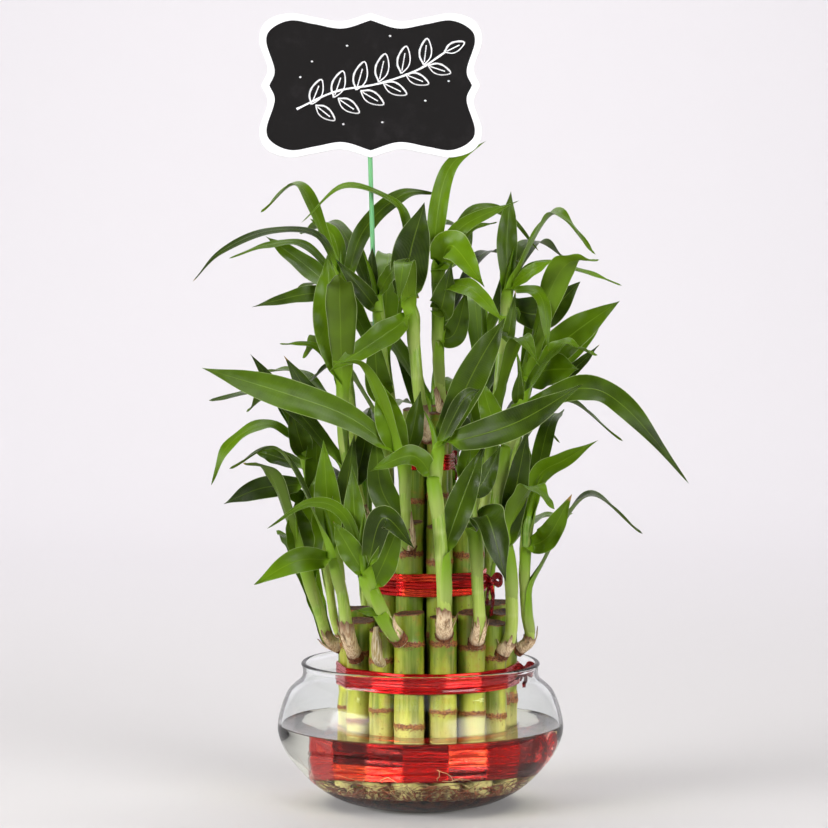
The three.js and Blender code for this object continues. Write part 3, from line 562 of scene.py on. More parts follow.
# spread: how far the painted shine of one straight run of a band differs from the next
ties = [dict(zip(('name', 'ring', 'low', 'high', 'strands', 'spread', 'knot', 'tail'), row)) for row in [
    ('tie_lower', outerCanes, 24.6, 40.2, 5, 1, (54.8, -9, 34), (55.6, -13, 24)),
    ('tie_rim', outerCanes, 63.4, 74.4, 6, 0.3, (53.8, -3, 70), (54, -9, 64)),
    ('tie_middle', middleCanes, 112, 123.4, 6, 0.6, (36.5, -3, 117), (37, -9, 103)),
    ('tie_upper', innerCanes, 176, 184, 5, 0.5, (16, 13, 180), (19, 17, 172)),
]]
# tone: the level of painted shine on the knot and the tails. It is low, so they are painted darker, with
# more painted shade than the bands.
foil = dict(near=0.42, thick=0.3, lift=0.7, step=1.3, crumple=0.4, cover=0.6, tone=0.16, runs=20,
            knot=(1.7, 2.8, 2.6), rows=12, turns=18, strip=0.16, fold=0.9,
            section=[(-1, 0), (-0.8, 0.6), (-0.4, 0.9), (0, 1), (0.4, 0.9), (0.8, 0.6), (1, 0), (0.5, -0.1),
                     (0, -0.1), (-0.5, -0.1)])


def ribbonPath(ring, distance):
    # Places round a ring of canes, each with the number of the straight run it belongs to
    count = len(ring)
    normals = []
    for cane, after in zip(ring, ring[1:] + ring[:1]):
        along = after['centre'] - cane['centre']
        spread = along.length
        along.normalize()
        lean = (cane['radius'] - after['radius']) / spread
        normals.append(along * lean + Vector((along.y, -along.x, 0)) * math.sqrt(1 - lean * lean))
    path = []
    for i, cane in enumerate(ring):
        for j in range(9):
            n = normals[i - 1].lerp(normals[i], j / 8).normalized()
            path.append((cane['centre'] + n * (cane['radius'] + distance), i - (j < 4)))
    steps = []
    for (a, run), (b, _) in zip(path, path[1:] + path[:1]):  # even steps along the straight runs too
        parts = max(1, round((b - a).length / foil['step']))
        steps += [(a.lerp(b, k / parts), run % count) for k in range(parts)]
    return steps


def foilMaterial():
    shader = Shader('redFoil', Metallic=0.85, Coat_Weight=0.2, Coat_Roughness=0.2)
    # tone is the painted shine of each part of the foil. It stands in for how its runs and creases catch the
    # light.
    tone, across, run, _ = shader.mark()
    folds = shader.add('ShaderNodeCombineXYZ', {}, {0: run * 0.3, 1: across * 3.5, 2: tone * 7})
    lines = shader.noiseAt(folds.outputs[0], 4, 0.6)
    # Painted light: a low level paints dark maroon as painted shade, and a high level paints orange as
    # painted highlight. The level comes from the painted shine and the crease noise.
    level = (tone * 0.75 + lines * 0.7 - 0.25).within()
    red = shader.mix(level.step(0.1, 0.5), (84, 0, 4), (204, 14, 14))
    shader.set(Base_Color=shader.mix(level.step(0.5, 0.85), red, (255, 94, 50)),
               Roughness=lines * 0.2 + 0.16)
    shader.bump(lines, 0.8, 0.5)
    return shader.material


def strand(shape, path, level, half, seed, tilt, turn, spread):
    # A flat foil band in a closed loop, with long creases along it
    count = len(path)
    middle = sum((p for p, _ in path), Vector()) / count
    # Each straight run gets its own painted shine, lighter or darker as if it faced the light differently.
    # spread sets how far the runs differ.
    painted_run_shine = [0.46 + spread * (random.Random(seed * 31 + run).random() - 0.5) for run in range(foil['runs'])]
    rings, travelled = [], 0
    for i, (p, run) in enumerate(path):
        travelled += foil['step']
        along = (path[(i + 1) % count][0] - path[i - 1][0]).normalized()
        out = Vector((along.y, -along.x, 0))
        angle = math.atan2(p.y - middle.y, p.x - middle.x)
        z = level + tilt * math.sin(angle + turn) + 0.3 * wobble(p, 14, seed)
        ring = []
        for across, lift in foil['section']:
            place = p + up * (z + across * half)
            if lift > 0:
                spot = (travelled / 26, across * half / 0.9 + seed, 0.5)
                crease = foil['crumple'] * wobble(spot, 1, seed + 2)
                bulge = foil['lift'] * lift * (0.75 + 0.25 * wobble(p, 12, seed + 1))
                place += out * max(foil['thick'] + bulge + crease, 0.1)
            mark = (painted_run_shine[run], across * half * 0.3 + seed, travelled / 4, 0)
            ring.append(shape.point(place, (across, i / count), mark))
        rings.append(ring)
    shape.skin([ring[::-1] for ring in rings], looped=True)


def crumpled(shape, middle, seed):
    # A knot: a ball pushed into flat creases
    rings = []
    for i in range(1, foil['rows']):
        share = i / foil['rows']
        tall = math.pi * i / foil['rows']
        ring = []
        for j, a in enumerate(turns(foil['turns'])):
            way = Vector((math.sin(tall) * math.cos(a), math.sin(tall) * math.sin(a), -math.cos(tall)))
            push = 1 + 0.35 * wobble(way, 0.5, seed) + 0.2 * wobble(way, 0.22, seed + 1)
            place = middle + Vector([way[k] * foil['knot'][k] * push for k in range(3)])
            # painted shine on the knot: a low level, with patches of painted shade and shine
            tone = foil['tone'] + 0.2 * wobble(way, 0.4, seed + 2)
            part = j / foil['turns']
            ring.append(shape.point(place, (part, share), (tone, share * 4, part * 9, 0)))
        rings.append(ring)
    shape.skin(rings)


def foilStrip(shape, points, half, face, seed):
    curve = Curve(points)
    steps = max(10, int(curve.length() / 0.9))
    thick = foil['strip']
    rings = []
    for i in range(steps + 1):
        u = i / steps
        along, p = curve.along(u), curve.at(u)
        side = along.cross(face).normalized()
        over = side.cross(along)
        ring = []
        width = half * (1 - 0.25 * u)
        # painted shine along the tail, changing slowly
        tone = foil['tone'] + 0.16 * wobble((u * 5, seed, 0.5), 1, seed)
        for across, lift in [(-1, thick), (0, thick), (1, thick), (1, -thick), (0, -thick), (-1, -thick)]:
            fold = foil['fold'] * wobble((u * 9, across * 0.8, seed), 1, seed) * half * 0.5
            place = p + side * across * width + over * (lift + fold)
            ring.append(shape.point(place, (across, u), (tone, across, u * 8, 0)))
        rings.append(ring)
    shape.skin(rings)


def makeTie(tie, material, seed):
    shape = Shape()
    pitch = (tie['high'] - tie['low']) / tie['strands']
    for i in range(tie['strands']):
        path = ribbonPath(tie['ring'], foil['near'] + 0.12 * (i % 2))
        tilt = 0.18 * pitch * math.sin(2.1 * i + seed)
        level = tie['low'] + (i + 0.5) * pitch
        strand(shape, path, level, foil['cover'] * pitch, seed * 10 + i // 2, tilt, 1.7 * i, tie['spread'])
    knot, tail = Vector(tie['knot']), Vector(tie['tail'])
    crumpled(shape, knot, seed)
    out = (Vector((knot.x - plantX, knot.y, 0)).normalized() + front).normalized()
    side = Vector((-out.y, out.x, 0))
    for k, way in enumerate((-1, 1)):
        loop = [knot + side * way * across + up * rise
                for across, rise in ((0, 0), (4, 3), (7, 1.5), (6, -2), (2, 0))]
        foilStrip(shape, [p + out * 0.6 for p in loop], 1.9, out, seed + k)
    foilStrip(shape, [knot, knot.lerp(tail, 0.5) + side * 1.5, tail, tail - up * 3], 1.5, out, seed + 4)
    foilStrip(shape, [knot, knot.lerp(tail, 0.5) - side * 2.5, tail - side * 3 + up * 3], 1.3, out, seed + 5)
    shape.piece(tie['name'] + '_foil', [material], [tie['name']], sharp=32)


# Leafy shoots: each on the cane it grew from, drawn along the same lines as its solid

# Each plan: cane, points of the stem, its thickness at foot and tip, how many ruled leaves and towards
# where, and its leaves: place on the stem, width, how far it faces the front, and its points
shootPlans = [
    ('outer_1', [(-40, 0, 82), (-48, -2, 86), (-52, -5, 98), (-57, -8, 114), (-61, -10, 129)], (3.8, 2.6),
     (2, -120), [(0.95, 14, 0.9, (-63, -14, 144), (-65, -12, 160)),
     (0.8, 13, 0.8, (-57, 0, 149), (-54, 4, 175))]),
    ('outer_14', [(-38, 21, 80), (-45, 22, 91), (-49, 18, 116), (-53, 14, 143), (-58, 8, 170),
     (-62, 4, 191)], (2.8, 2.2), (2, -140), [(0.78, 11, 0.7, (-83, 0, 166), (-103, -6, 158)),
     (0.68, 9, 0.6, (-71, 6, 166), (-85, 6, 178)), (0.85, 9, 0.5, (-77, 14, 182), (-88, 16, 184)),
     (0.97, 8, 0.5, (-80, -2, 200), (-100, -8, 189), (-109, -10, 168)),
     (0.98, 8, 0.6, (-74, 12, 214), (-90, 16, 236)), (0.9, 11, 0.9, (-63, -4, 192), (-68, -8, 211)),
     (0.6, 13, 0.9, (-54, 0, 176), (-55, -4, 202))]),
    ('outer_2', [(-33, -25, 79), (-37, -32, 92), (-40, -32, 112), (-43, -31, 126), (-45, -29, 139)],
     (3.8, 2.8), (1, -70), [(0.85, 12, 0.8, (-63, -42, 132), (-85, -46, 120)),
     (0.98, 13, 0.9, (-48, -28, 162), (-50, -26, 193)),
     (0.96, 12, 0.8, (-39, -20, 163), (-34, -16, 196))]),
    ('outer_4', [(-10, -46, 91), (-17, -53, 101), (-22, -56, 111), (-26, -57, 120), (-28, -57, 128)],
     (4, 3.4), (0, 0), [(0.9, 11, 0.9, (-36, -60, 140), (-44, -62, 154)),
     (0.85, 6, 0.5, (-38, -50, 155), (-56, -46, 162), (-78, -50, 149)),
     (0.7, 13, 0.9, (-18, -60, 134), (-10, -58, 154)), (0.95, 12, 0.7, (-19, -66, 156), (-3, -72, 141)),
     (0.4, 5, 0.6, (-25, -60, 108), (-33, -62, 109)), (0.98, 12, 0.85, (-33, -50, 150), (-35, -44, 182))]),
    ('outer_5', [(12, -44, 93), (12, -51, 105), (11, -53, 128), (9, -52, 154), (7, -50, 174),
     (8, -47, 191)], (4.2, 3.2), (0, 0), [(0.8, 11, 0.6, (-4, -58, 187), (-26, -62, 179)),
     (1, 15, 0.75, (46, -62, 203), (81, -66, 223)), (0.97, 15, 0.8, (28, -44, 230), (43, -40, 256)),
     (0.95, 8, 0.7, (21, -54, 214), (30, -56, 220)), (0.45, 13, 0.8, (21, -52, 164), (32, -50, 192))]),
    ('outer_6', [(28, -39, 88), (30, -45, 100), (29, -46, 117), (28, -46, 138), (25, -44, 158),
     (24, -42, 171)], (3.8, 2.8), (0, 0), [(0.7, 19, 0.5, (34, -58, 157), (43, -64, 123)),
     (0.95, 12, 0.8, (25, -38, 181), (27, -36, 200)), (0.9, 11, 0.8, (32, -36, 172), (41, -30, 190))]),
    ('outer_7', [(41, -25, 81), (46, -28, 91), (47, -29, 108), (45, -28, 131), (40, -28, 156),
     (43, -26, 182), (49, -22, 203), (51, -20, 213)], (3.8, 3.2), (2, 70),
     [(0.45, 12, 0.9, (49, -34, 168), (55, -34, 200)), (0.95, 6, 0.9, (50, -27, 217), (51, -28, 229)),
     (0.9, 14, 0.7, (83, -30, 220), (106, -34, 209), (137, -38, 171)),
     (0.75, 12, 0.8, (37, -30, 204), (30, -32, 226))]),
    ('outer_8', [(50, -1, 80), (57, -4, 87), (55, -8, 101), (54, -10, 121), (55, -10, 140),
     (57, -10, 155)], (3.2, 2.4), (2, 110), [(0.75, 12, 0.85, (66, -22, 143), (78, -26, 165)),
     (1, 10, 0.7, (62, -12, 174), (75, -14, 182), (92, -16, 192)),
     (0.9, 12, 0.8, (54, 2, 170), (55, 6, 196))]),
    ('middle_1', [(-6, -26, 135), (-6, -30, 144), (-8, -31, 162), (-8, -31, 178), (-10, -33, 186)],
     (3.5, 2.8), (1, -20), [(0.97, 14.5, 0.85, (-36, -43, 205), (-66, -52, 217), (-110, -60, 231)),
     (0.9, 14, 0.85, (-16, -40, 204), (-21, -38, 224)), (0.85, 11, 0.8, (-4, -27, 198), (0, -24, 218)),
     (0.3, 13, 0.85, (-20, -34, 168), (-23, -34, 198))]),
    ('middle_9', [(-23, -11, 141), (-30, -16, 152), (-36, -20, 167), (-39, -22, 187), (-40, -22, 208),
     (-40, -22, 221)], (3, 2.6), (2, -60), [(1, 18, 0.9, (-46, -26, 257), (-48, -22, 288)),
     (0.97, 4, 0.4, (-53, -16, 240), (-73, -16, 242)), (0.8, 10, 0.7, (-56, -14, 215), (-71, -12, 236)),
     (0.4, 12, 0.85, (-30, -30, 184), (-26, -32, 210))]),
    ('middle_8', [(-25, 7, 140), (-32, 8, 159), (-35, 6, 186), (-37, 2, 212), (-38, -4, 238),
     (-39, -8, 259), (-41, -10, 275)], (3, 2.4), (2, -125),
     [(1, 6, 0.5, (-53, -16, 298), (-79, -20, 300), (-103, -24, 289), (-117, -26, 274)),
     (0.97, 5.5, 0.5, (-60, 2, 293), (-80, 0, 293), (-100, -2, 286)),
     (0.9, 11, 0.6, (-62, 14, 284), (-82, 20, 298)), (0.95, 8, 0.7, (-45, 0, 297), (-58, 4, 307)),
     (0.92, 9, 0.6, (-30, -8, 300), (-10, -6, 319), (8, -4, 320)),
     (0.9, 8.5, 0.75, (-57, -28, 268), (-87, -36, 261))]),
    ('inner_2', [(5, -13, 192), (2, -17, 200), (-1, -18, 218), (-3, -17, 239), (-4, -15, 254),
     (-7, -14, 262)], (3.6, 3.2), (1, 20), [(0.85, 13, 0.8, (-22, -27, 245), (-47, -36, 228)),
     (1, 19, 0.9, (-5, -20, 288), (2, -18, 315)),
     (0.98, 6, 0.5, (-7, -4, 304), (-18, -6, 318), (-40, -10, 323), (-61, -14, 304))]),
    ('inner_4', [(-7, 8, 193), (-15, 2, 210), (-19, -4, 233), (-21, -8, 252), (-23, -10, 267)], (3, 2.4),
     (3, 200), [(0.85, 8.5, 0.8, (-29, -18, 268), (-44, -20, 286)),
     (1, 5, 0.8, (-25, -12, 281), (-25, -12, 292)), (0.98, 8.5, 0.6, (-16, -22, 278), (-5, -28, 287)),
     (0.25, 13, 0.85, (-22, -12, 222), (-24, -16, 250))]),
    ('inner_3', [(13, 3, 196), (11, -2, 212), (9, -3, 233), (9, -5, 254), (9, -6, 272), (9, -6, 284)],
     (3.2, 2.6), (2, 150), [(0.95, 9, 0.8, (8, -10, 303), (15, -8, 333), (34, -6, 347)),
     (0.98, 6, 0.4, (26, 0, 310), (44, 4, 310), (62, 6, 290)),
     (0.93, 8, 0.6, (21, -14, 302), (51, -12, 316)), (0.9, 16, 0.7, (16, -20, 293), (33, -26, 271)),
     (0.9, 9, 0.8, (22, 10, 293), (25, 12, 313)), (0.8, 10, 0.7, (25, -34, 271), (43, -38, 253)),
     (0.88, 4, 0.5, (25, -2, 300), (40, -2, 305)), (0.5, 12, 0.8, (18, -8, 248), (24, -12, 270)),
     (0.65, 13, 0.85, (11, -18, 262), (16, -20, 284))]),
    ('middle_3', [(27, -14, 141), (33, -16, 158), (36, -14, 182), (39, -12, 207), (42, -10, 239),
     (44, -8, 259), (45, -8, 272)], (3, 2.4), (2, 60), [(0.985, 10, 0.85, (45, -6, 298), (47, -4, 321)),
     (0.85, 17, 0.8, (65, 4, 258), (84, 8, 274)), (0.97, 8, 0.5, (62, -14, 267), (66, -20, 238)),
     (1, 5, 0.4, (61, -10, 284), (86, -14, 279), (104, -16, 272)),
     (0.96, 7, 0.6, (56, -22, 279), (68, -24, 285)), (0.8, 7, 0.8, (45, -22, 247), (49, -22, 270)),
     (0.4, 12, 0.8, (32, -20, 208), (27, -24, 232))]),
    ('middle_4', [(30, 5, 138), (41, 8, 156), (48, 8, 180), (53, 4, 207), (55, 0, 225)], (3, 2.4),
     (3, 120), [(1, 20, 0.7, (66, -14, 229), (82, -18, 229)),
     (0.98, 16, 0.8, (78, -4, 246), (104, -2, 264)), (0.93, 14, 0.6, (80, 14, 241), (98, 20, 257)),
     (0.9, 7, 0.5, (78, 4, 227), (94, 6, 241))]),
]
widest = {('middle_1', 0.97): 0.68}  # leaves that are widest further along than the others


def shootFrom(on, stem, thick, ruled, leaves):
    return dict(on=on, stem=stem, thick=thick, ruled=ruled, leaves=[
        dict(at=at, wide=wide, face=face, to=to, peak=widest.get((on, at), blade['peak']))
        for at, wide, face, *to in leaves])

farShoots = [
    dict(on='outer_10', below=16, tall=96, count=4),
    dict(on='outer_11', below=14, tall=78, count=4),
    dict(on='outer_13', below=18, tall=104, count=4),
    dict(on='middle_5', below=14, tall=108, count=5),
    dict(on='middle_6', below=12, tall=84, count=5),
    dict(on='middle_7', below=14, tall=120, count=6),
]
stub = dict(on='outer_3', stem=[(-20, -37, 79), (-22, -41, 82), (-22.5, -42, 90), (-22.8, -42, 98)],
            thick=(3, 3), leaves=[])
tipMoves = [(0, 0), (6, 0), (-6, 0), (0, 5), (12, 0), (-12, 0), (6, 5), (-6, 5), (0, -5), (18, 0), (-18, 0),
            (12, 8), (-12, 8), (24, 4), (-24, 4), (30, 8), (-30, 8), (10, 16), (-10, 16)]  # sideways, up
# peak: where a blade is widest; spacing: closer stops near its foot; curl: how far its section bends
blade = dict(across=8, along=28, widen=1.12, fold=0.2, thick=0.5, wave=0.065, tolerance=0.15, peak=0.42,
             spacing=0.94, curl=0.42, pointed=0.28)
# low: length up the stem; leaves: share of the blade's line where the bend ends; rows, bend: their stops
sheath = dict(low=20, clear=0.35, curl=2.1, leaves=0.15, slim=0.86, rows=6, bend=5, tuck=0.3, top=-0.09)

shoots = [shootFrom(*entry) for entry in shootPlans]


def farShoot(entry):
    cane = next(c for c in everyCane if c['name'] == entry['on'])
    tall = entry['tall']
    low = cane['top'] - entry['below']
    stem = [cane['centre'] + cane['out'] * (cane['radius'] + away) + up * (low + height)
            for away, height in [(-1, 0), (5, 7), (7, 0.35 * tall), (9, 0.7 * tall), (13, tall)]]
    ruled = entry['count'], cane['angle']
    return dict(on=entry['on'], stem=stem, thick=(3.2, 2.5), ruled=ruled, leaves=[])


def drawFrom(seed):
    while True:
        seed = (seed * 1664525 + 1013904223) % 4294967296
        yield seed / 4294967296


def ruledLeaves(shoot, seed):
    draw = drawFrom(seed)
    curve = Curve(shoot['stem'])
    count, towards = shoot['ruled']
    leaves = []
    for j in range(count):
        at = 0.5 + 0.48 * j / (count - 1) if count > 1 else 0.9
        out = heading(towards + (1 if j % 2 else -1) * (10 + 65 * next(draw)))
        length = 34 + 38 * next(draw)
        rise = 24 + 32 * next(draw)
        droop = 34 * next(draw) - 10
        start = curve.at(at)
        to = [start + out * 0.5 * length + up * rise, start + out * length + up * (rise - droop)]
        leaves.append({'at': at, 'wide': 10 + 6 * next(draw), 'face': 0.35, 'from': start, 'to': to,
                       'peak': blade['peak'], 'facing': out, 'sideways': Vector((-out.y, out.x, 0))})
    return leaves


def placedLeaves(shoot):
    curve = Curve(shoot['stem'])
    return [{**leaf, 'from': curve.at(leaf['at']), 'to': [Vector(p) for p in leaf['to']], 'facing': front,
             'sideways': Vector((0, 1, 0))} for leaf in shoot['leaves']]


def asBuilt(leaf, tree):  # the leaf with its tip where the solid's is, or None where it was left out
    for sideways, lift in tipMoves:
        count = len(leaf['to'])
        move = leaf['sideways'] * sideways + up * lift
        to = [p + move * (i + 1) / count for i, p in enumerate(leaf['to'])]
        if tree.find(to[-1])[2] < blade['tolerance']:
            return {**leaf, 'to': to}
    return None


def bladeWidth(u, peak):
    if u < peak:
        return 0.36 + 0.64 * math.sin(u / peak * math.pi / 2)
    return 1 - ((u - peak) / (1 - peak)) ** 1.8


def stemRadius(shoot, u):
    low, high = shoot['thick']
    return (low * sheath['slim'] + (high - low * sheath['slim']) * u) * (1 + 0.2 * math.exp(-12 * u))


def bladeSides(leaf, curve, twist, places):
    # The upper side at each place. It starts where the leaf's line leaves it best defined and is carried on
    # from there both ways, so the blade never turns over where it points straight at its own facing.
    facing = up * (1 - leaf['face']) + leaf['facing'] * leaf['face']
    ways = [curve.along(u) for u in places]
    across = [facing - way * facing.dot(way) for way in ways]
    wishes = [Matrix.Rotation(twist * math.sin(math.pi * u), 3, way) @ side.normalized()
              for u, way, side in zip(places, ways, across)]
    first = max(range(len(places)), key=lambda i: across[i].length)
    sides = list(wishes)
    for order in (range(first + 1, len(places)), range(first - 1, -1, -1)):
        last = wishes[first]
        for i in order:
            carried = (last - ways[i] * last.dot(ways[i])).normalized()
            wish = wishes[i] if wishes[i].dot(carried) > 0 else -wishes[i]
            last = carried.lerp(wish, smooth(0.1, 0.35, across[i].length)).normalized()
            sides[i] = last
    return sides


def halfWidth(leaf, u):
    peak = leaf['peak']
    point = 1 - blade['pointed'] * smooth(0.5, 1, (u - peak) / (1 - peak))
    return leaf['wide'] / 2 * blade['widen'] * bladeWidth(u, peak) * point


def sheathStops(shoot, leaf, curve, upper):  # up the stem's side, closed round it at first
    stem, at = Curve(shoot['stem']), leaf['at']
    lead, rise = curve.at(0.3) - leaf['from'], stem.along(at)
    away = lead - rise * lead.dot(rise)
    sure = min(1, away.length / (0.4 * lead.length))
    out = away.normalized() * sure - upper * (1 - sure)
    out = (out - rise * out.dot(rise)).normalized()
    half, length, tuck = leaf['wide'] / 2 * blade['widen'], stem.length(), sheath['tuck']
    stops = []
    for k in range(sheath['rows'] + 1):
        s = k / sheath['rows']
        u = max(at - sheath['low'] * (1 - s) / length, 0.03)
        reach = stemRadius(shoot, min(u, 1)) + sheath['clear'] * smooth(0, 0.35, s)
        reach = reach - tuck * (1 - smooth(0, 0.3, s)) + tuck * s
        curl = sheath['curl'] * (1 - 0.3 * s * s)
        stops.append((stem.at(u) + out * reach, rise, -out, max(reach * curl, 0.62 * half * s), curl,
                      -0.3 + 0.035 * k))
    return stops


def bendStops(start, end):  # from the sheath's last stop to the blade's first, turning evenly
    (place, rise, inner, wide, curl, _), (endMid, lead, upper, endWide, endCurl, share) = start, end
    count, span = sheath['bend'], (endMid - place).length
    ways = [(rise * (1 - k / count) + lead * k / count).normalized() for k in range(count + 1)]
    carried = [inner]
    for way in ways[1:]:
        carried.append((carried[-1] - way * carried[-1].dot(way)).normalized())
    turn = math.atan2(ways[-1].dot(carried[-1].cross(upper)), carried[-1].dot(upper))
    stops = []
    for k in range(1, count):
        t = k / count
        a, b = 2 * t ** 3 - 3 * t * t + 1, t ** 3 - 2 * t * t + t
        c, d = 1 - a, t ** 3 - t * t
        middle = place * a + rise * span * b + endMid * c + lead * span * d
        side = Matrix.Rotation(turn * t, 3, ways[k]) @ carried[k]
        stops.append((middle, ways[k], side, wide + (endWide - wide) * smooth(0, 1, t),
                      curl + (endCurl - curl) * smooth(0, 0.9, t),
                      sheath['top'] + (share - sheath['top']) * t))
    return stops


def leafStops(shoot, leaf, twist):
    # Places along a leaf: up the stem's side as a sheath, out through a bend, and along the blade.
    # Each is (place of the midrib, way, upper side, half the width, how far it curls, share of the blade).
    curve, leaves, count = Curve([leaf['from'], *leaf['to']]), sheath['leaves'], blade['along']
    places = [leaves + (1 - leaves) * (k / count) ** blade['spacing'] for k in range(count)]
    sides = bladeSides(leaf, curve, twist, places)
    along = []
    for u, side in zip(places, sides):
        here = halfWidth(leaf, u)
        along.append((curve.at(u) - side * blade['fold'] * here, curve.along(u), side, here,
                      blade['curl'] + 0.13 * (1 - smooth(leaves, 0.4, u)), u))
    low = sheathStops(shoot, leaf, curve, sides[0])
    return [*low, *bendStops(low[-1], along[0]), *along], curve.at(1)


def addLeaf(shape, shoot, leaf, draw):
    own, dry = draw.random(), max(0, draw.gauss(-0.25, 0.45))
    ripple, phase = draw.uniform(2, 4), draw.uniform(0, 6.28)
    stops, end = leafStops(shoot, leaf, draw.gauss(0, 0.16))
    across, rings = blade['across'], []
    for middle, way, normal, half, curl, u in stops:
        side = way.cross(normal)
        radius = half / curl
        upper, lower = [], []
        for j in range(across + 1):
            s = 2 * j / across - 1
            a = s * curl
            wave = blade['wave'] * leaf['wide'] * s * s * math.sin(ripple * 6.28 * u + phase + 1.3 * s)
            wave *= smooth(0.1, 0.4, u)
            inward = normal * math.cos(a) - side * math.sin(a)
            place = middle + side * radius * math.sin(a) + normal * (radius * (1 - math.cos(a)) + wave)
            thick = blade['thick'] / 2 * (1 - 0.6 * abs(s)) * (1 + 1.2 * (1 - abs(s)) ** 6)
            edge = abs(s) > 0.99
            if not edge:
                lower.append(shape.point(place - inward * thick, ((s + 1) / 2, u), (1, own, dry, 0)))
            place += inward * thick * (not edge)
            upper.append(shape.point(place, ((s + 1) / 2, u), (0, own, dry, 0)))
        rings.append([*lower, *reversed(upper)])
    shape.skin(rings, capped=False)
    shape.face(reversed(rings[0]))
    tip, last = shape.point(end, (0.5, 1), (0, own, dry, 0)), rings[-1]
    for j in range(len(last)):
        shape.face((last[j], last[(j + 1) % len(last)], tip))


def addSpear(shape, shoot, draw):
    # The youngest leaf, still rolled up, at the tip of the stem
    stem = Curve(shoot['stem'])
    way, foot = stem.along(1), stem.at(0.96)
    tall, lean = draw.uniform(16, 34), Vector((draw.gauss(0, 0.15), draw.gauss(0, 0.15), 0))
    steps, wide = 16, shoot['thick'][1] * 0.72
    centres = [foot + (way + lean * (k / steps)) * tall * k / steps for k in range(steps + 1)]
    radii = [wide * (1 - (k / steps) ** 1.7) + 0.12 for k in range(steps + 1)]
    shape.tube(centres, radii, 10, marks=[(0, 0.8, 0, 0)] * (steps + 1), flat=0.75)


def addStem(shape, shoot, draw):
    curve = Curve(shoot['stem'])
    length = curve.length()
    joints = {leaf['at'] for leaf in shoot['leaves']} | {k * 11 / length for k in range(1, int(length / 11))}
    steps = max(24, int(length / 1.6))
    centres, radii, marks = [], [], []
    for i in range(steps + 1):
        u = i / steps
        behind = [(u - j) * length for j in joints if j < u]
        fresh = math.exp(-min(behind) / 1.4) if behind else 0
        tip = 1 - 0.55 * smooth(1 - 9 / length, 1, u)
        centres.append(curve.at(u))
        radii.append(stemRadius(shoot, u) * tip * (1 - 0.04 * fresh))
        marks.append((fresh, u, draw.random() * 0.1, 1 if shoot is stub else 1 - smooth(3, 20, u * length)))
    shape.tube(centres, radii, 14, slot=1, marks=marks)

# The collar, the sleeve and the dry points: start, height, wrap, tear and flare
husks = [(0.4, (3, 5), (3.1, 3.1), 1.2, (0.3, 0.6)), (0.8, (13, 24), (2.4, 3.1), 5, (0, 0.4)),
         (1, (10, 22), (0.3, 0.75), 1.5, (0.8, 3.6))]
huskCount, huskSteps, huskSlot = 5, 12, 2


def huskSheets(shape, shoot, k, draw):  # the outer and inner sheet of one husk, as rows of points
    curve, length = Curve(shoot['stem']), Curve(shoot['stem']).length()
    start, tall, wrap, tear, flare = husks[min(k, 2)]
    start, tall, wrap = start + 0.5 * k, draw.uniform(*tall), draw.uniform(*wrap)
    turn, flare = draw.uniform(0, 6.28), draw.uniform(*flare)
    sheets = [[], []]
    for i in range(huskSteps + 1):
        t = i / huskSteps
        away = start + tall * t
        u = away / length
        way = curve.along(u)
        side = way.cross(front).normalized()
        other = way.cross(side)
        reach = stemRadius(shoot, u) + 0.4 - 0.04 * k + flare * t ** 3
        spread = wrap * (1 - 0.25 * t * t) + 0.05 if k < 2 else wrap * (1 - t) ** 0.8 + 0.04
        for sheet, sign in zip(sheets, (1, -1)):
            row = []
            for j in range(huskSteps + 1):
                a = turn + spread * (2 * j / huskSteps - 1)
                out = side * math.cos(a) + other * math.sin(a)
                crinkle = 0.35 * wobble((a * 3, away, k * 9.0), 1.2, 6)
                ragged = tear * wobble((a * 2.5, k, 1), 0.6, 8) * t * t
                place = curve.at(u) + out * (reach + crinkle + 0.1 * sign) + way * ragged
                row.append(shape.point(place, (j / huskSteps, t), (0, min(k, 1), 0, 0)))
            sheet.append(row)
    return sheets


def addHusks(shape, shoot, draw):
    # Papery scales round the foot of a shoot: a brown collar, a torn pale sleeve and thin dry points
    steps = range(huskSteps)
    back = range(huskSteps, 0, -1)
    edge = [*((0, j) for j in steps), *((i, huskSteps) for i in steps), *((huskSteps, j) for j in back),
            *((i, 0) for i in back)]
    for k in range(huskCount):
        outer, inner = huskSheets(shape, shoot, k, draw)
        for i in steps:
            for j in steps:
                for sheet, corners in ((outer, ((0, 0), (0, 1), (1, 1), (1, 0))),
                                       (inner, ((0, 0), (1, 0), (1, 1), (0, 1)))):
                    shape.face([sheet[i + di][j + dj] for di, dj in corners], huskSlot)
        for (a, b), (c, d) in zip(edge, edge[1:] + edge[:1]):
            shape.face((outer[c][d], outer[a][b], inner[a][b], inner[c][d]), huskSlot)


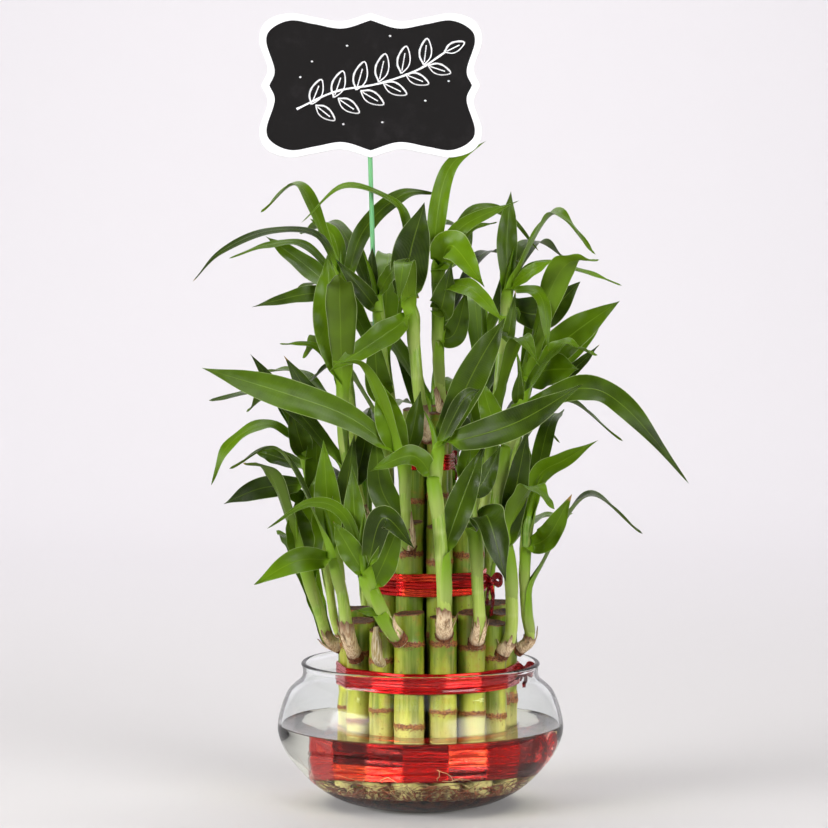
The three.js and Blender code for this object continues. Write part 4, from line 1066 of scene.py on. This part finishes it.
def leafMaterial():
    shader = Shader('bladeLeaf', Subsurface_Weight=0.05, Subsurface_Radius=(0.4, 1, 0.1),
                    Subsurface_Scale=0.001, Specular_IOR_Level=0.2)
    s, along = shader.pair()
    s = s * 2 - 1
    under, own, dry, _ = shader.mark()
    patches = shader.noise(14, detail=2)
    veins = (s * 84 + shader.noise(3, 9) * 1.2).sin() * 0.5 + 0.5
    rib = s.size().step(0.05, 0.015)
    green = shader.over(
        shader.mix((own * 0.8 + patches * 0.7 - 0.36).within(), (8, 26, 0), (96, 132, 2)),
        (veins * 0.13, (150, 184, 30)),
        (rib * 0.22, (150, 184, 50)),
        (s.size().step(0.95, 0.995) * 0.55, (190, 206, 140)),  # pale margins
        (along.step(0.22, -0.08) * 0.85, (132, 174, 34)),
        (along.step(-0.1, -0.28) * 0.6, (196, 204, 130)),  # the sheath's foot
        (under * 0.4, (104, 132, 28)))
    rim = (along + shader.noise(5) * 0.05 - 1 + dry * 0.12).step(0.015, 0.05)
    straw = shader.mix(shader.noise(2, 6), (128, 88, 40), (198, 168, 104))
    shader.set(Base_Color=shader.mix(rim, green, straw),
               Roughness=(rim * 0.35 + veins * 0.05 + patches * 0.12 + under * 0.15 + 0.22).within())
    shader.bump(veins * 0.25 - rib * 0.8 + shader.noise(0.8, 4) * 0.3 + shader.noise(7, 20) * 1.2, 0.2, 0.5)
    return shader.material


def stemMaterial():
    shader = Shader('shootStem', Subsurface_Weight=0.05, Subsurface_Radius=(0.5, 1, 0.2),
                    Subsurface_Scale=0.001)
    fresh, along, _, foot = shader.mark()
    streaks = shader.noise(0.8, 16)
    papery = shader.mix(streaks.step(0.35, 0.7), (158, 118, 80), (226, 212, 188))
    # Pale green at the stem's foot is its own colour. The darker green further up is partly its own colour
    # and partly painted shade among the leaves.
    green = shader.over(
        shader.mix(along.step(0, 0.9), (176, 196, 84), (98, 144, 20)),
        (streaks.step(0.4, 0.7) * 0.4, (192, 206, 112)),
        (fresh * 0.3, (210, 216, 150)),
        (foot * (streaks * 0.5 + 0.6).within(), papery))
    shader.set(Base_Color=green, Roughness=(streaks * 0.2 + foot * 0.3 + 0.3).within())
    shader.bump(streaks, 0.25, 0.7)
    return shader.material


def huskMaterial():
    shader = Shader('dryHusk', Roughness=0.8)
    _, along = shader.pair()
    pale = shader.mark()[1]
    streaks = shader.noise(0.5, 14, detail=4)
    tan = shader.over(
        shader.mix(streaks.step(0.3, 0.6), (184, 140, 96), (240, 220, 182)),
        (shader.noise(2.5, 4, detail=4).step(0.5, 0.68) * 0.5, (136, 82, 44)),
        (along.step(0.34, 0) * 0.85, (96, 44, 20)),
        (along.step(0.72, 1) * 0.8, (104, 58, 28)))
    brown = shader.mix(streaks.step(0.3, 0.7), (64, 28, 12), (142, 82, 44))
    shader.set(Base_Color=shader.mix(pale.step(0.1, 0.4), brown, tan))
    shader.bump(streaks, 0.3, 0.8)
    return shader.material


@functools.cache
def stemLook():
    return stemMaterial()


def makeShoots():
    materials = [leafMaterial(), stemLook(), huskMaterial()]
    kept = 0
    for i, shoot in enumerate([*shoots, *map(farShoot, farShoots)]):
        node = 'shoot_' + shoot['on']
        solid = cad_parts[node].data.vertices
        tree = KDTree(len(solid))
        for k, vertex in enumerate(solid):
            tree.insert(vertex.co / mm, k)
        tree.balance()
        draw = random.Random(100 + i)
        shape = Shape()
        addStem(shape, shoot, draw)
        addHusks(shape, shoot, draw)
        addSpear(shape, shoot, draw)
        for leaf in [*placedLeaves(shoot), *ruledLeaves(shoot, 11 + 7 * i)]:
            found = asBuilt(leaf, tree)
            if found:
                addLeaf(shape, shoot, found, draw)
                kept += 1
        shape.piece(node + '_leafy', materials, [node], sharp=70)
    print('shoots made, leaves:', kept)


# Card and stick

card = dict(thick=1.2, back=-21.85, middle=(-25.6, 374.5), bevel=0.3,
            edge=[(0, 36.8), (14.8, 32.7), (29, 34.8), (42, 36.7), (53.5, 32.5), (57, 22.6), (52.8, 8.8),
                  (56, 0)],
            panel=[(0, 33.2), (14.3, 29), (28.5, 31.2), (40.9, 33.1), (50.6, 29), (53.4, 22.1), (49.2, 7.8),
                   (51.9, 0)])  # a quarter of each outline


def cardLoop(quarter, steps=12):
    curve = Curve([(x, 0, z) for x, z in quarter])
    count = steps * (len(quarter) - 1)
    part = [curve.at(i / count) for i in range(count + 1)]
    part = [(p.x, p.z) for p in part]
    half = part + [(x, -z) for x, z in reversed(part[:-1])]
    return half + [(-x, z) for x, z in reversed(half[1:-1])]


def makeCard():
    shape = Shape()
    x0, z0 = card['middle']
    back, face = card['back'], card['back'] - card['thick']
    edge, panel = cardLoop(card['edge']), cardLoop(card['panel'])

    def row(loop, y, shrink=0.0):
        sizes = [1 - shrink / math.hypot(x, z) for x, z in loop]
        return [shape.point((x0 + x * size, y, z0 + z * size)) for (x, z), size in zip(loop, sizes)]

    bevel = card['bevel']
    rows = [row(edge, back, bevel), row(edge, back - bevel), row(edge, face + bevel), row(edge, face, bevel),
            row(panel, face)]
    for low, high in zip(rows, rows[1:]):
        for j in range(len(low)):
            k = (j + 1) % len(low)
            shape.face((low[k], low[j], high[j], high[k]), 0)
    shape.face(rows[0], 0)
    shape.face(reversed(rows[-1]), 1)
    shape.piece('card_board', [cardMaterial(), panelMaterial()], ['card'], sharp=30)


def cardMaterial():
    shader = Shader('whiteBoard', Roughness=0.7)
    shader.set(Base_Color=shader.mix(shader.noise(0.5, detail=4), (246, 245, 250), (255, 255, 255)))
    shader.bump(shader.noise(0.4), 0.05)
    return shader.material


def panelMaterial():
    shader = Shader('blackPanel', Roughness=0.75, Specular_IOR_Level=0.25)
    dust = shader.noise(16, detail=6, rough=0.7).step(0.5, 0.85)
    shader.set(Base_Color=shader.mix(dust * 0.12, (12, 9, 9), (90, 84, 88)))
    shader.bump(shader.noise(0.4), 0.04)
    return shader.material


def chalkMaterial():
    shader = Shader('chalkLine', Roughness=0.9)
    grain = shader.noise(0.5, detail=4).step(0.25, 0.6)
    shader.set(Base_Color=shader.mix(grain, (206, 204, 212), (255, 255, 255)))
    return shader.material


# lines: half widths of the stalk, a leaf's outline, its rib and a dot; pairs: where leaves leave the stalk
sprig = dict(lines=(1.05, 0.95, 0.6, 0.8), flat=0.35,
             stalk=[(-38, -12), (-18, -3), (4, 1), (24, 8), (38, 17)],
             leaf=[(0, 0), (0.3, 0.2), (0.65, 0.2), (1, 0), (0.65, -0.2), (0.3, -0.2), (0, 0)],
             rib=[(0.1, 0), (0.4, 0), (0.75, 0)], pairs=(0.08, 0.24, 0.4, 0.56, 0.72, 0.88),
             dots=[(-30, 12), (-12, 20), (10, 25), (28, -8), (6, -19), (-14, -20), (-36, 4), (40, 2)])


def makeSprig():
    # A plain leafy sprig and dots in chalk, where a greeting would be
    shape = Shape()
    x0, z0 = card['middle']
    y = card['back'] - card['thick']
    stalk, outline, rib, dot = sprig['lines']

    def stroke(points, half, steps=26):
        curve = Curve([(x0 + x, y, z0 + z) for x, z in points])
        centres = [curve.at(i / steps) for i in range(steps + 1)]
        radii = [half * (1 - 0.25 * abs(math.sin(i * 0.9))) for i in range(steps + 1)]
        shape.tube(centres, radii, 6, flat=sprig['flat'])

    def leafLine(x, z, turn, size):
        a = math.radians(turn)
        wx, wz = math.cos(a), math.sin(a)
        for line, half in ((sprig['leaf'], outline), (sprig['rib'], rib)):
            stroke([(x + (wx * u - wz * v) * size, z + (wz * u + wx * v) * size) for u, v in line], half)

    stroke(sprig['stalk'], stalk)
    for i, u in enumerate(sprig['pairs']):
        x, z = -36 + 72 * u, -11 + 25 * u ** 1.15
        leafLine(x, z, 68 + 3 * i, 15 - 4 * abs(u - 0.45))
        leafLine(x + 2, z - 0.5, -38 + 4 * i, 14 - 4 * abs(u - 0.45))
    leafLine(*sprig['stalk'][-1], 26, 11)
    for x, z in sprig['dots']:
        stroke([(x - 0.5, z), (x, z + 0.4), (x + 0.5, z)], dot, steps=6)
    shape.piece('card_sprig', [chalkMaterial()])


stick = dict(thick=1.2, end=0.55, steps=60, sides=16,
             points=[(-21.8, 21, 76), (-21.8, 20.5, 155), (-23, 9, 220), (-24.2, -4.5, 268),
                     (-25.4, -13, 315), (-26.6, -20.3, 362)])


def makeStick():
    shape = Shape()
    curve, steps = Curve(stick['points']), stick['steps']
    shader = Shader('mintPlastic', Roughness=0.35, Subsurface_Weight=0.1, Subsurface_Scale=0.001)
    shader.set(Base_Color=shader.mix(shader.noise(6, 20), (96, 174, 108), (136, 202, 144)))
    shader.bump(shader.noise(1, 6), 0.1)
    centres = [curve.at(i / steps) for i in range(steps + 1)]
    radii = [stick['thick'] * (stick['end'] if i in (0, steps) else 1) for i in range(steps + 1)]
    shape.tube(centres, radii, stick['sides'])
    shape.piece('stick_rod', [shader.material], ['stick'])


# Stage, light and camera

# Each lamp: name, place, aim, size and power; the surround is dimmer on the camera's side
lamps = [
    ('top_box', (0, -0.4, 1.7), (0, 0, 0.1), (1.2, 1.2), 6),
    ('back_wash', (0, 0.9, 2.6), (0, 2.2, 0.9), (2.4, 0.8), 60),
]
softboxes = [
    ('left_soft', (-1.45, -0.75, 0.72), (0, 0, 0.15), (1.4, 0.8), 16),
    ('right_soft', (1.07, -1.25, 0.72), (0, 0, 0.15), (1.4, 0.8), 12.5),
]
surround = (0.01, 0.1)
stage = dict(floor=(0.61, 0.59, 0.59, 1), wall=(0.7, 0.675, 0.7, 1), width=6, behind=2.2, infront=4,
             sweep=0.9, high=3.5, steps=24)
view = dict(place=(-3.4, -1500, 280), down=2.87, lens=124.8)


def makeStage():
    shader = Shader('paleSweep', Roughness=0.9)
    far = shader.parts(shader.place())[1].step(0, 1.7)
    shader.set(Base_Color=shader.mix(far, stage['floor'], stage['wall']))
    sweep, flat = stage['sweep'], stage['behind'] - stage['sweep']
    outline = [(-stage['infront'], 0), (flat, 0)]
    for i in range(1, stage['steps'] + 1):
        a = math.pi / 2 * i / stage['steps']
        outline.append((flat + sweep * math.sin(a), sweep * (1 - math.cos(a))))
    outline.append((stage['behind'], stage['high']))
    half = stage['width'] / 2
    shape = Shape()
    rows = [[shape.point((x, y, z)) for x in (-half, half)] for y, z in outline]
    for low, high in zip(rows, rows[1:]):
        shape.face((*low, *reversed(high)))
    shape.stage('floor_sweep', shader)


def addSoftbox(name, place, aim, size, power):
    # A glowing sheet, bright in the middle and fading to its edges
    shader = Shader(name, Base_Color=(0, 0, 0, 1), Emission_Strength=power)
    glow = 1
    for part in shader.pair():
        glow = (part - 0.5).size().step(0.5, 0.2) * glow
    shader.set(Emission_Color=shader.mix(glow, (0, 0, 0, 1), (1, 1, 1, 1)))
    way = (Vector(aim) - Vector(place)).normalized()
    side = way.cross(up).normalized() * size[0] / 2
    tall = side.cross(way).normalized() * size[1] / 2
    shape = Shape()
    low, high = [[shape.point(Vector(place) + side * (2 * u - 1) + tall * (2 * v - 1), (u, v))
                  for u in (0, 1)] for v in (0, 1)]
    shape.face((*low, *reversed(high)))
    shape.stage(name, shader)


def addLight(name, place, aim, size, power):
    light = bpy.data.lights.new(name, 'AREA')
    light.shape = 'RECTANGLE'
    light.size, light.size_y = size
    light.energy = power
    obj = bpy.data.objects.new(name, light)
    obj.location = place
    obj.rotation_euler = (Vector(aim) - Vector(place)).to_track_quat('-Z', 'Y').to_euler()
    bpy.context.collection.objects.link(obj)


def makeLights():
    for light in lamps:
        addLight(*light)
    for box in softboxes:
        addSoftbox(*box)
    world = bpy.data.worlds.new('studio')
    world.use_nodes = True
    tree = world.node_tree
    way = tree.nodes.new('ShaderNodeTexCoord').outputs['Generated']
    split = tree.nodes.new('ShaderNodeSeparateXYZ')
    ramp = tree.nodes.new('ShaderNodeMapRange')
    tree.links.new(way, split.inputs[0])
    tree.links.new(split.outputs['Y'], ramp.inputs['Value'])
    for socket, value in zip(('From Min', 'From Max', 'To Min', 'To Max'), (-1, 0.6, *surround)):
        ramp.inputs[socket].default_value = value
    sky = tree.nodes['Background']
    sky.inputs['Color'].default_value = (0.97, 0.95, 1, 1)
    tree.links.new(ramp.outputs[0], sky.inputs['Strength'])
    bpy.context.scene.world = world


def makeCamera():
    camera = bpy.data.cameras.new('photo_view')
    camera.sensor_width = 36
    camera.lens = view['lens']
    camera.clip_end = 50
    obj = bpy.data.objects.new('photo_view', camera)
    obj.location = Vector(view['place']) * mm
    obj.rotation_euler = (math.radians(90 - view['down']), 0, 0)
    bpy.context.collection.objects.link(obj)
    bpy.context.scene.camera = obj


makeCamera()
makeLights()
makeStage()
print('stage, lights and camera made')
makeBowl()
makeWater()
makeRootMat()
makeRoots()
print('bowl, water and roots made')
caneSkin = caneMaterial()
for cane in everyCane:
    makeCane(cane, caneSkin)
print('canes made')
redFoil = foilMaterial()
for i, tie in enumerate(ties):
    makeTie(tie, redFoil, i + 1)
print('ties made')
makeShoots()
makeCard()
makeSprig()
makeStick()
print('card and stick made')

bpy.context.scene.view_settings.view_transform = 'Standard'
